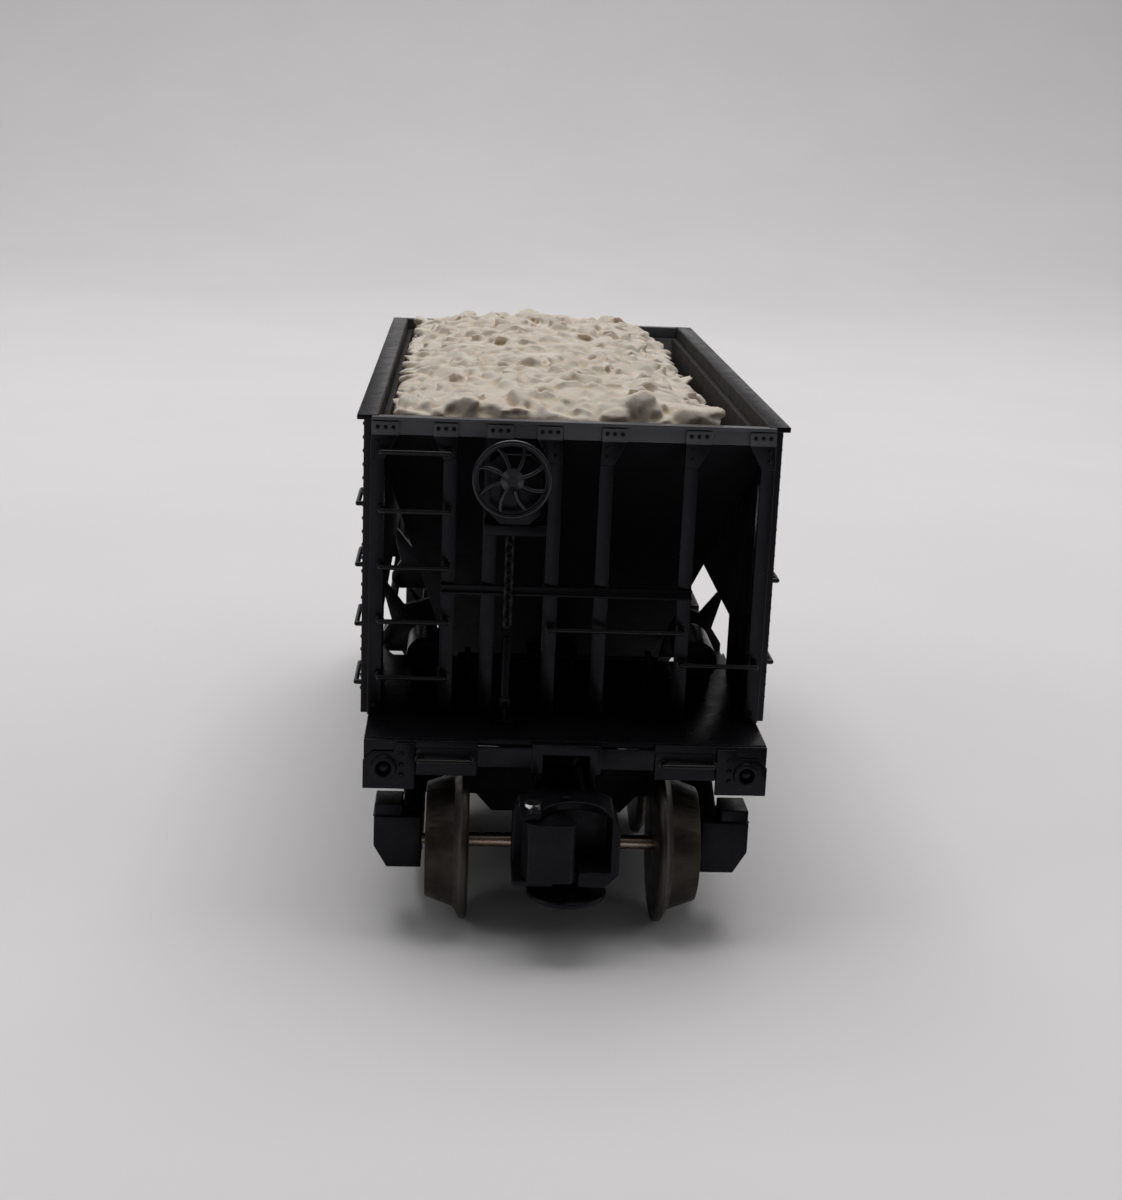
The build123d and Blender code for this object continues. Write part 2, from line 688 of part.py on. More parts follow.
def make_brake_shelf():
    """Shelf bracket between two posts, with the slot that the chain runs through."""
    front = HOUSING_FRONT_V - 0.2
    low, high = SHELF_Z
    shelf = end_block(SHELF_X, (front, CHORD_FACE_V), (high - SHELF_THICK, high))
    shelf += end_block(SHELF_X, (front, front + SHELF_LIP), SHELF_Z)
    slot_x = (WHEEL_CENTRE[0] - SHELF_SLOT, WHEEL_CENTRE[0] + SHELF_SLOT)
    slot_v = (CHAIN_V - SHELF_SLOT, CHAIN_V + SHELF_SLOT)
    return shelf - end_block(slot_x, slot_v, (low - 1, high + 1))


def chain_link():
    """One oval wire link, standing in the XZ plane at the origin."""
    straight = LINK_LENGTH - LINK_WIDTH
    radius = (LINK_WIDTH - LINK_WIRE) / 2
    low, high = -straight / 2, straight / 2
    turn_top = ThreePointArc((radius, 0, high), (0, 0, high + radius), (-radius, 0, high))
    turn_low = ThreePointArc((-radius, 0, low), (0, 0, low - radius), (radius, 0, low))
    link = rod((radius, 0, low), (radius, 0, high), LINK_WIRE / 2)
    link += rod((-radius, 0, low), (-radius, 0, high), LINK_WIRE / 2)
    for arc in (turn_top, turn_low):
        section = Plane(origin=arc @ 0, z_dir=arc % 0) * Circle(LINK_WIRE / 2)
        link += sweep(section, path=arc)
    return link


def make_brake_chain():
    """Links that hang from the shelf to the brake rod, each a quarter turn from the last."""
    pitch = (CHAIN_TOP - CHAIN_BOTTOM) / CHAIN_LINKS
    link = chain_link()
    links = []
    for index in range(CHAIN_LINKS):
        z = CHAIN_TOP - pitch * (index + 0.5)
        spin = CHAIN_SPIN + 90 * (index % 2)
        links.append(Pos(WHEEL_CENTRE[0], along(CHAIN_V), z) * Rotation(0, 0, spin) * link)
    return links


def make_brake_rod():
    """Rod under the chain, with an eye at its top and a fork at its foot."""
    x, y = WHEEL_CENTRE[0], along(CHAIN_V)
    bar = rod((x, y, ROD_BOTTOM), (x, y, ROD_TOP), ROD_RADIUS)
    bar += Pos(x, y, ROD_BOTTOM) * Box(*FORK)
    slot_z = ROD_BOTTOM - FORK_SLOT[2] / 2
    return bar - Pos(x, y, slot_z) * Box(*FORK_SLOT)


def make_bell_crank():
    """Bell crank on the deck under the brake rod."""
    x, y = WHEEL_CENTRE[0], along(CHAIN_V)
    half_x, half_y = CRANK_HALF
    foot_x, foot_y, foot_thick = CRANK_FOOT
    crank = block((x - half_x, x + half_x), (y - half_y, y + half_y), (DECK_TOP, CRANK_TOP))
    foot_z = (DECK_TOP, DECK_TOP + foot_thick)
    return crank + block((x - foot_x, x + foot_x), (y - foot_y, y + foot_y), foot_z)


def make_cross_shaft():
    """Brake shaft across the deck in two bearing brackets."""
    y = along(SHAFT_V)
    shaft = rod((-SHAFT_HALF, y, SHAFT_Z), (SHAFT_HALF, y, SHAFT_Z), SHAFT_RADIUS)
    half_x, half_y, above = SHAFT_BRACKET
    for side in (-1, 1):
        x = side * (SHAFT_HALF - 3 * half_x)
        bracket_z = (DECK_TOP, SHAFT_Z + above)
        shaft += block((x - half_x, x + half_x), (y - half_y, y + half_y), bracket_z)
    lever_z = (DECK_TOP + 0.4, SHAFT_Z)
    return shaft + block(SHAFT_LEVER_X, (y - half_y / 2, y + half_y / 2), lever_z)


def deck_vessel(centre, v, neck):
    """Round vessel lying along the car on two saddles."""
    x, z, radius = centre
    barrel = rod((x, along(v[0]), z), (x, along(v[1]), z), radius)
    barrel = fillet(barrel.edges().filter_by(GeomType.CIRCLE), radius * 0.3)
    saddle = (x - radius * 0.7, x + radius * 0.7)
    for saddle_v in (v[0] + SADDLE_INSET, v[1] - SADDLE_INSET):
        barrel += end_block(saddle, (saddle_v - 0.5, saddle_v + 0.5), (DECK_TOP, z))
    if neck:
        barrel += rod((x, along(v[0] - 2.5), z), (x, along(v[0] + 1), z), radius * 0.35)
    return barrel


# ---------------------------------------------------------------- discharge doors


def make_door():
    """Front discharge door with its hinge barrel."""
    y, z = -DOOR_HINGE_Y, DOOR_HINGE_Z
    half = DOOR_HALF_X
    top = SPOUT_BOTTOM - 0.2
    leaf = block((-half, half), (y, -0.15), (top - DOOR_THICK, top))
    barrel = rod((-half, y, z), (half, y, z), DOOR_KNUCKLE)
    door = leaf + barrel
    rib_half, rib_depth = DOOR_RIB
    rib_z = (top - DOOR_THICK - rib_depth, top - DOOR_THICK)
    for x in DOOR_RIB_X:
        door += block((x - rib_half, x + rib_half), (y, -0.8), rib_z)
    return door - rod((-half - 1, y, z), (half + 1, y, z), DOOR_PIN + RUNNING_GAP)


def make_door_pins():
    """The two hinge pins, a little longer than the lugs."""
    reach = OUTLET_HALF_X + LUG_THICK + 0.4
    pins = []
    for y in (-DOOR_HINGE_Y, DOOR_HINGE_Y):
        pins.append(rod((-reach, y, DOOR_HINGE_Z), (reach, y, DOOR_HINGE_Z), DOOR_PIN))
    return pins


# ---------------------------------------------------------------- stone load


def make_load():
    """Loose stone load as one insert: a plug in the hopper under a rounded heap."""
    gap = SHEET + 0.4
    heap = []
    for z in (LOAD_BASE, KNEE_Z):
        heap.append((z, 0, funnel_half_x(z) - gap, HALF_LENGTH - slope_v(z) - gap))
    heap += [(z, LOAD_SHIFT, x, y) for z, x, y in HEAP_STEPS]
    faces = [(Pos(shift, 0, z) * Rectangle(2 * x, 2 * y)).face() for z, shift, x, y in heap]
    load = loft(faces[:2], ruled=True)
    for low, high in zip(faces[1:-1], faces[2:]):
        load += loft([low, high], ruled=True)
    half_x, half_y, roof = LOAD_HOLLOW
    return load - block((-half_x, half_x), (-half_y, half_y), (LOAD_BASE, roof))


# ---------------------------------------------------------------- trucks


def make_truck_bolster():
    """Truck bolster with its kingpin hole and the tongue that carries the coupler."""
    v = (TRUCK_CENTRE_V - 2.6, TRUCK_CENTRE_V + 2.6)
    top = TRUCK_BOLSTER_TOP
    half = FRAME_INNER - 0.05
    low = BOLSTER_UNDERSIDE
    belly_x, belly_z = BOLSTER_BELLY
    shoulder_x = belly_x + 2.5
    outline = [(-half, top), (half, top), (half, low), (shoulder_x, low), (belly_x, belly_z)]
    outline += [(-belly_x, belly_z), (-shoulder_x, low), (-half, low)]
    bolster = plate_xz(outline, v)
    tongue_z = (SHANK_Z[1] + 0.2, top)
    bolster += end_block((-TONGUE_HALF, TONGUE_HALF), (COUPLER_PIVOT_V - 2.2, v[0]), tongue_z)
    pivot = along(COUPLER_PIVOT_V)
    washer_top = SHANK_Z[0] - 0.2
    bolster += rod((0, pivot, washer_top), (0, pivot, tongue_z[0]), PIVOT_STUD)
    bolster += rod((0, pivot, washer_top - 0.7), (0, pivot, washer_top), PIVOT_WASHER)
    return bolster - kingpin_hole(KINGPIN_RADIUS + KINGPIN_GAP)


def make_side_frame():
    """Left side frame: arched beam with a spring window and two journal boxes."""
    first = TRUCK_CENTRE_V - WHEELBASE / 2
    last = TRUCK_CENTRE_V + WHEELBASE / 2
    centre = TRUCK_CENTRE_V
    outline = [(first - 2.6, 16.4), (first + 3.5, 17.2), (centre - 7.5, 20.2), (centre + 7.5, 20.2)]
    outline += [(last - 3.5, 17.2), (last + 2.6, 16.4), (last + 2.6, 9.4), (last - 3.0, 9.0)]
    outline += [(centre + 6.6, 5.4), (centre - 6.6, 5.4), (first + 3.0, 9.0), (first - 2.6, 9.4)]
    x = (-FRAME_OUTER, -FRAME_INNER)
    frame = plate_yz(outline, x)
    frame -= end_block(x, (centre - 3.4, centre + 3.4), (7.6, 18.3))
    near, knee, far = 5.2, 8.4, 13.4
    for lean in (-1, 1):
        window = [(centre + lean * near, 16.6), (centre + lean * knee, 16.6)]
        window += [(centre + lean * far, 14.8), (centre + lean * far, 11.2)]
        window += [(centre + lean * near, 8.2)]
        frame -= plate_yz(window, x)
    for v in (first, last):
        frame += journal_box(v)
        y = along(v)
        frame -= rod((-AXLE_HALF - 0.2, y, AXLE_Z), (0, y, AXLE_Z), JOURNAL_RADIUS + RUNNING_GAP)
    return frame


def journal_box(v):
    """Axle box outside the side frame, with a chamfered foot and a proud lid."""
    low, high = BOX_Z
    near, far = -FRAME_INNER, -BOX_OUTER
    lid_z = high - BOX_LID
    outline = [(near, low), (far + 2.0, low), (far, low + 3.4), (far, lid_z), (near, lid_z)]
    box = plate_xz(outline, (v - BOX_HALF_V, v + BOX_HALF_V))
    lid_v = (v - BOX_HALF_V + 0.3, v + BOX_HALF_V - 0.3)
    return box + end_block((far + 0.1, -FRAME_OUTER), lid_v, (lid_z, high))


def make_springs():
    """Bolster springs in both side frame windows, as ribbed posts under the bolster ends."""
    springs = []
    x = (FRAME_INNER + FRAME_OUTER) / 2
    low, high = SPRING_Z
    pitch = (high - low) / SPRING_COILS
    for side in (-1, 1):
        for offset in (-SPRING_SPACING, SPRING_SPACING):
            y = along(TRUCK_CENTRE_V + offset)
            coil = rod((side * x, y, low), (side * x, y, high), SPRING_CORE)
            for index in range(SPRING_COILS):
                z = low + pitch * (index + 0.5)
                coil += Pos(side * x, y, z) * Torus(*SPRING_COIL)
            springs.append(coil)
    return springs


def make_spring_cap():
    """Bolster ends that sit on the springs inside both windows."""
    v = (TRUCK_CENTRE_V - CAP_HALF_V, TRUCK_CENTRE_V + CAP_HALF_V)
    caps = []
    for side in (-1, 1):
        x = (side * FRAME_INNER, side * (FRAME_OUTER + 0.4))
        caps.append(end_block(x, v, (SPRING_Z[1], CAP_TOP)))
    return caps


def make_axle(v):
    """Stepped axle with pointed ends."""
    y = along(v)
    seat = WHEEL_BACK_TO_BACK / 2 + WHEEL_WIDTH
    axle = rod((-seat, y, AXLE_Z), (seat, y, AXLE_Z), AXLE_RADIUS)
    axle += rod((-AXLE_HALF, y, AXLE_Z), (AXLE_HALF, y, AXLE_Z), JOURNAL_RADIUS)
    return axle


def make_wheels(v):
    """The two wheels of one axle, turned from one profile of (x, radius) points."""
    back = WHEEL_BACK_TO_BACK / 2
    tread = back + FLANGE_WIDTH
    face = back + WHEEL_WIDTH
    bore = AXLE_RADIUS
    profile = [(back, bore), (back, FLANGE_RADIUS - 0.5), (back + 0.5, FLANGE_RADIUS)]
    profile += [(back + 1.1, FLANGE_RADIUS), (tread, TREAD_RADIUS), (face, RIM_EDGE_RADIUS)]
    profile += [(face, RIM_EDGE_RADIUS - 1.0), (face - 1.6, RIM_EDGE_RADIUS - 1.5)]
    profile += [(face - 1.6, 3.2), (face - 0.3, 2.7), (face - 0.3, bore)]
    outline = make_face(Polyline([(x, 0, r) for x, r in profile], close=True))
    wheel = Pos(0, along(v), AXLE_Z) * revolve(outline, Axis.X)
    return [wheel, mirror_x(wheel)]


# ---------------------------------------------------------------- coupler


def make_coupler_head():
    """Cast coupler: shank with its pivot eye, hood, guard arm, knuckle lugs and tack guide."""
    low, high = HEAD_Z
    front, back = HEAD_V
    half = HEAD_HALF
    corner, bevel = HOOD_CORNER, HOOD_CORNER * 0.3
    hood = [(-half, low), (-half, high - corner), (-half + bevel, high - bevel)]
    hood += [(-half + corner, high), (half - corner, high), (half - bevel, high - bevel)]
    hood += [(half, high - corner), (half, low + 2), (half - 2, low)]
    head = plate_xz(hood, (front, back))
    roof = high - HEAD_WALL
    inner_back = back - HEAD_BACK
    lug_floor, shelf_floor = HOOD_MOUTH_Z
    open_half = HEAD_WALL + 0.5
    head -= end_block((-half - 1, half - HEAD_WALL), (front - 1, inner_back), (shelf_floor, roof))
    head -= end_block((-half - 1, open_half), (front - 1, inner_back), (lug_floor, roof))
    head -= end_block((-open_half, open_half), (front - 1, inner_back - 1.2), (low - 1, roof))
    arc_x, arc_y = HEAD_WALL, along(front - 0.6)
    head -= rod((arc_x, arc_y, roof - 1), (arc_x, arc_y, high + 1), HOOD_ARC)
    shank_v = (back - 0.5, COUPLER_PIVOT_V)
    head += end_block((-SHANK_HALF, SHANK_HALF), shank_v, SHANK_Z)
    pivot = along(COUPLER_PIVOT_V)
    head += rod((0, pivot, SHANK_Z[0]), (0, pivot, SHANK_Z[1]), SHANK_HALF)
    head -= rod((0, pivot, SHANK_Z[0] - 1), (0, pivot, SHANK_Z[1] + 1), PIVOT_STUD + RUNNING_GAP)
    pin_x, pin_y = KNUCKLE_PIN[0], along(KNUCKLE_PIN[1])
    head -= rod((pin_x, pin_y, low - 1), (pin_x, pin_y, high + 1), KNUCKLE_PIN_RADIUS)
    stem_x, stem_y = TACK_STEM[0], along(TACK_STEM[1])
    stem_hole = TACK_STEM_RADIUS + RUNNING_GAP
    head += rod((stem_x, stem_y, low), (stem_x, stem_y, shelf_floor), TACK_BOSS)
    head -= rod((stem_x, stem_y, low - 1), (stem_x, stem_y, TACK_STEM_TOP + 1), stem_hole)
    hole_x, hole_v, hole_radius = HOOD_HOLE
    hole_y = along(hole_v)
    return head - rod((hole_x, hole_y, roof - 1), (hole_x, hole_y, high + 1), hole_radius)


def make_knuckle():
    """Knuckle: a rounded block that hooks across from its pin, closed."""
    x, v = KNUCKLE_PIN
    outline = [(x - 1.5, v - 1.6), (x - 0.6, -22.6), (x + 0.6, -23.2), (0.6, -23.2), (1.2, -22.4)]
    outline += [(1.2, -20.2), (0.2, -19.0), (-1.2, -18.2), (-2.4, -17.0), (x + 0.3, v + 1.7)]
    outline += [(x - 1.2, v + 1.2)]
    knuckle = plate_xy(outline, KNUCKLE_Z)
    knuckle = fillet(knuckle.edges().filter_by(Axis.Z), 0.25)
    hole_radius = KNUCKLE_PIN_RADIUS + RUNNING_GAP
    y = along(v)
    return knuckle - rod((x, y, KNUCKLE_Z[0] - 1), (x, y, KNUCKLE_Z[1] + 1), hole_radius)


def make_knuckle_pin():
    """Pin through the head and knuckle with a bright domed head."""
    x, y = KNUCKLE_PIN[0], along(KNUCKLE_PIN[1])
    low, high = HEAD_Z
    pin = rod((x, y, low), (x, y, high), KNUCKLE_PIN_RADIUS)
    head_radius, head_height = PIN_HEAD
    return pin + rod((x, y, high), (x, y, high + head_height), head_radius)


def make_tack():
    """Uncoupling tack: a wide disc under the head on an offset stem."""
    disc_x, disc_y = TACK_CENTRE[0], along(TACK_CENTRE[1])
    stem_x, stem_y = TACK_STEM[0], along(TACK_STEM[1])
    low, high = TACK_Z
    disc = rod((disc_x, disc_y, low), (disc_x, disc_y, high), TACK_RADIUS)
    return disc + rod((stem_x, stem_y, low), (stem_x, stem_y, TACK_STEM_TOP), TACK_STEM_RADIUS)


# ---------------------------------------------------------------- writing


def write(name, shapes):
    """Write one node. A list is a group of separate solids."""
    if isinstance(shapes, list):
        solids = [solid for shape in shapes for solid in shape.solids()]
        shape = Compound(children=solids) if len(solids) > 1 else solids[0]
    else:
        solids = shapes.solids()
        shape = solids[0] if len(solids) == 1 else Compound(children=list(solids))
    export_step(shape, f"parts/{name}.step")


def at_end(shapes, end):
    """The shapes as built for the front, or turned round for the rear."""
    if end == "front":
        return shapes
    if isinstance(shapes, list):
        return [other_end(shape) for shape in shapes]
    return other_end(shapes)


def write_body():
    """Write the hopper body, both end frames and the underframe."""
    left = make_side()
    write("side_sheet_left", left)
    write("side_sheet_right", other_end(left))
    write("hopper_funnel", make_funnel())
    for end in ("front", "rear"):
        write(f"end_chord_{end}", at_end(make_end_chord(), end))
        write(f"end_posts_{end}", at_end(make_end_posts(end == "front"), end))
        write(f"end_bar_{end}", at_end(make_end_bar(), end))
        write(f"end_grab_irons_{end}", at_end(make_end_grabs(), end))
        write(f"side_ladder_{end}", at_end(make_side_ladder(), end))
        write(f"side_grab_irons_{end}", at_end(make_side_grabs(), end))
        write(f"deck_{end}", at_end(make_deck(), end))
        write(f"side_sills_{end}", at_end(make_side_sills(), end))
        write(f"centre_sill_{end}", at_end(make_centre_sill(), end))
        write(f"end_sill_{end}", at_end(make_end_sill(), end))
    bolster = make_body_bolster()
    write("body_bolsters", bolster + at_end(bolster, "rear"))
    pockets = make_poling_pockets()
    write("poling_pockets", pockets + at_end(pockets, "rear"))
    kingpin = make_kingpin()
    write("kingpin_screws", [kingpin, other_end(kingpin)])


def write_brakes_and_load():
    """Write the brake gear, the discharge doors and the stone load."""
    write("brake_wheel", make_handwheel())
    write("brake_housing", make_brake_housing())
    write("brake_shelf", make_brake_shelf())
    write("brake_chain", make_brake_chain())
    write("brake_rod", [make_brake_rod(), make_bell_crank()])
    write("brake_cross_shaft", make_cross_shaft())
    write("air_reservoir", deck_vessel(RESERVOIR, RESERVOIR_V, False))
    write("brake_cylinder", deck_vessel(CYLINDER, CYLINDER_V, True))
    door = make_door()
    write("hopper_door_front", door)
    write("hopper_door_rear", other_end(door))
    write("door_hinge_pins", make_door_pins())
    write("stone_load", make_load())


def write_truck(end):
    """Write one truck with the coupler that it carries."""
    write(f"truck_bolster_{end}", at_end(make_truck_bolster(), end))
    frame = make_side_frame()
    write(f"side_frames_{end}", at_end([frame, mirror_x(frame)], end))
    write(f"truck_springs_{end}", at_end(make_springs() + make_spring_cap(), end))
    half = WHEELBASE / 2
    for place, v in (("outer", TRUCK_CENTRE_V - half), ("inner", TRUCK_CENTRE_V + half)):
        write(f"axle_{place}_{end}", at_end(make_axle(v), end))
        write(f"wheels_{place}_{end}", at_end(make_wheels(v), end))
    write(f"coupler_head_{end}", at_end(make_coupler_head(), end))
    write(f"knuckle_{end}", at_end(make_knuckle(), end))
    write(f"knuckle_pin_{end}", at_end(make_knuckle_pin(), end))
    write(f"uncoupling_tack_{end}", at_end(make_tack(), end))


os.makedirs("parts", exist_ok=True)
write_body()
write_brakes_and_load()
for truck_end in ("front", "rear"):
    write_truck(truck_end)
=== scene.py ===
import json
import math
import random

import bmesh
import bpy
from mathutils import Euler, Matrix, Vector

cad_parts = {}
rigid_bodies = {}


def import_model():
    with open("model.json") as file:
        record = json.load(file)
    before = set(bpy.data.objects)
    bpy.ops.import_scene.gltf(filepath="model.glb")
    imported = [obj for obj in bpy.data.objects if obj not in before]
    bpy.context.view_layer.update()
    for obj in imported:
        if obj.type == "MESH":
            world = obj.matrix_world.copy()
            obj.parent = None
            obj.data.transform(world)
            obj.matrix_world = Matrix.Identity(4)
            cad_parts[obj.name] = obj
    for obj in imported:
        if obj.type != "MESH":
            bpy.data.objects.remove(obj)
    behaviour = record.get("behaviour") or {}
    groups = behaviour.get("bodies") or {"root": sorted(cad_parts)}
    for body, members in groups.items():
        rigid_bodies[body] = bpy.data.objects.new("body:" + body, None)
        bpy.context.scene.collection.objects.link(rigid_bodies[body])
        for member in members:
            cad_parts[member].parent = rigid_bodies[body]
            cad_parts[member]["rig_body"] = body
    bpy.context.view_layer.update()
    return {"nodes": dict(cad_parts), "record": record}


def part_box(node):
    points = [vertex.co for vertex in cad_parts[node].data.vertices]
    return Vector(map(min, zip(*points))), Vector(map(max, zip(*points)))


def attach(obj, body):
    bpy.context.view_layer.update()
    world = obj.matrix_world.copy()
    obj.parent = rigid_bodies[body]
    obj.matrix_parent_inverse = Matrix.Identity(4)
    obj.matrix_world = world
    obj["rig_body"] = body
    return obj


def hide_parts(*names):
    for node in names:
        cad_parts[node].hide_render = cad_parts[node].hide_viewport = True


# Model hopper car: finishes, rivets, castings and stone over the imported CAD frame.
# Metres, +Z up. X runs across the car, Y along it, and the brake end is at -Y.

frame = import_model()

MM = 0.001
SEED = 20
SLOT_OF = {part["node"]: part["material_slot"] for part in frame["record"]["subparts"]}

# Edge radii of moulded, cast and turned parts, and what counts as a seam, a flat and a sharp edge
MOULDED_EDGE = 0.13 * MM
CAST_EDGE = 0.22 * MM
WHEEL_EDGE = 0.12 * MM
SEAM_GAP = 0.0005 * MM
FLAT_ANGLE = math.radians(0.5)
SHARP_ANGLE = math.radians(30)

# Voxel size and smoothing passes of the pieces that are skinned over
HEAD_SKIN = (0.16 * MM, 5)
KNUCKLE_SKIN = (0.14 * MM, 4)
STONE_SKIN = (0.4 * MM, 2)

# Colours of each finish, dark then light, and of what wears or settles on it
PLASTIC_TINTS = ((0.0022, 0.0022, 0.0034), (0.0042, 0.0042, 0.0058))
DECK_TINTS = ((0.0034, 0.0034, 0.0046), (0.0060, 0.0060, 0.0075))
# The chord's pale tints are painted light: the chord face is made paler to stand in for light falling on
# it from above.
CHORD_PAINTED_LIGHT_TINTS = ((0.094, 0.094, 0.100), (0.112, 0.112, 0.118))
# The pocket floor's near-black tints are painted shade in the recess of the poling pocket.
POCKET_PAINTED_SHADE_TINTS = ((0.0008, 0.0008, 0.0012), (0.0016, 0.0014, 0.0022))
LEVEL_DUST = (0.03, 0.029, 0.027)
INNER_DUST = (0.10, 0.088, 0.076)
CASTING_TINTS = ((0.0028, 0.0028, 0.0042), (0.0060, 0.0060, 0.0078))
CASTING_RUB = (0.018, 0.0175, 0.017)
WIRE_TINTS = ((0.006, 0.006, 0.007), (0.03, 0.029, 0.028))
WHEEL_TINTS = ((0.018, 0.014, 0.010), (0.042, 0.034, 0.026))
TREAD_TINT = (0.075, 0.066, 0.056)
AXLE_TINTS = ((0.31, 0.24, 0.19), (0.50, 0.40, 0.33))
RIVET_TINTS = ((0.62, 0.62, 0.63), (0.90, 0.90, 0.91))
SCREW_TINTS = ((0.25, 0.25, 0.26), (0.42, 0.42, 0.43))
STONE_TINTS = ((0.63, 0.56, 0.47), (0.72, 0.655, 0.565))
STONE_WARM = (0.62, 0.49, 0.34)
STONE_CREVICE = (0.52, 0.40, 0.26)
PAPER_COLOUR = (0.80, 0.785, 0.785)
BLUE_SHEEN = (0.92, 0.91, 1.0, 1.0)

# Roughness of the noise, and its middle range, which is spread over the whole of a pattern
NOISE_ROUGHNESS = 0.55
NOISE_SPREAD = (0.3, 0.7)

# Colour sockets of the Mix node, by number since its other sockets have the same names
MIX_FACTOR, MIX_A, MIX_B, MIX_RESULT = 0, 6, 7, 2

# Inside of the body sides: the faces nearer the middle than this X. They are duller, and dust
# sets in between two heights on those that don't point down more than the tilt.
INNER_X = 29.3 * MM
INNER_DULLING = 0.36
INNER_DUST_RISE = (62 * MM, 72 * MM)
UNDERSIDE_TILT = -0.3

# Width of the blurred line where a top painted paler, as painted light from above, starts
PAINTED_LIGHT_BLUR = 0.1 * MM

# Wheels: pitch of the lathe marks, and the radii where the rub on the tread starts and is full
LATHE_PITCH = 0.22 * MM
TREAD_RUB = (10.8 * MM, 11.9 * MM)

# Paper in front of the car: its share of the full colour, and where it is dark and full (Y)
PAPER_SHADE = 0.42
SHADE_REACH = (-0.34, -0.17)
PAPER_MOTTLE = 0.97

# Rivets
RIVET_RADIUS = 0.34 * MM
RIVET_HEIGHT = 0.24 * MM
RIVET_BURY = 0.02 * MM
RIVET_SIDES = 10
RIVET_RINGS = 3
RIB_RIVET_PITCH = 2.05 * MM
SAME_PLANE = 0.01 * MM

# Stone load. A sink is the height of a stone's centre over the heap, as a share of its size.
# The stones stay within the reach (X, Y), and none is sown where the heap is below the floor.
STONE_SIZE = (1.7 * MM, 2.9 * MM)
STONE_SINK = (-0.52, -0.02)
END_ROW = 54 * MM
END_STONE_SHARE = 0.4
END_STONE_SIZE = (2.8 * MM, 4.2 * MM)
END_STONE_SINK = (-0.35, 0.1)
PEAK = (-3.5 * MM, 50 * MM, 79.4 * MM)
PEAK_SIZE = 3.4 * MM
STONE_TRIES = 12000
STONE_SPACING = 2.2 * MM
STONE_REACH = (25.6 * MM, 61.4 * MM)
STONE_FLOOR = 71.0 * MM
HOLLOW_GAIN = 12.0
HOLLOW_SPREADS = 3

# One stone: points scattered over a ball, its squash across and up, its tip and its roughness
STONE_POINTS = 12
STONE_ACROSS = (0.8, 1.3)
STONE_UP = (0.42, 0.7)
STONE_TIP = 0.3
STONE_SHELL = (0.85, 1.0)

# Closed body under the stones
MOUND_SIZE = (26.2 * MM, 61.4 * MM)
MOUND_GRID = (44, 96)
MOUND_TAPER = (0.86, 0.70)
MOUND_SINK = 0.3 * MM
MOUND_FOOT_RISE = 1 * MM

# End posts and the gussets over them
POST_X = [x * MM for x in (-29.1, -18.3, -12.2, -2.7, 4.9, 17.6, 29.1)]
CHORD_RIVET_STEP = 1.15 * MM
GUSSET_RIVET_DROP = (0.9 * MM, 2.3 * MM)
GUSSET_THICK = 0.35 * MM
FOOT_RIVET_RISE = 1.6 * MM

# Poling pockets, with the depths of their plate and floor behind the rim
POCKET_CENTRE = (27.0 * MM, 25.8 * MM)
POCKET_RIVETS = [(24.4 * MM, z * MM) for z in (28.0, 26.3, 24.7)]
POCKET_RIVET_RADIUS = 0.4 * MM
POCKET_PLATE_DEPTH = 0.7 * MM
POCKET_FLOOR_DEPTH = 0.3 * MM
POCKET_DOME = (1.08 * MM, 0.7 * MM)

# Side ribs
RIB_COUNT = 11
RIB_FACE_X = 31.2 * MM
RIB_INSET = 1.6 * MM
SIDE_BOTTOM = 39.5 * MM
LEG_LENGTH = 28 * MM


# ---------------------------------------------------------------- finishes


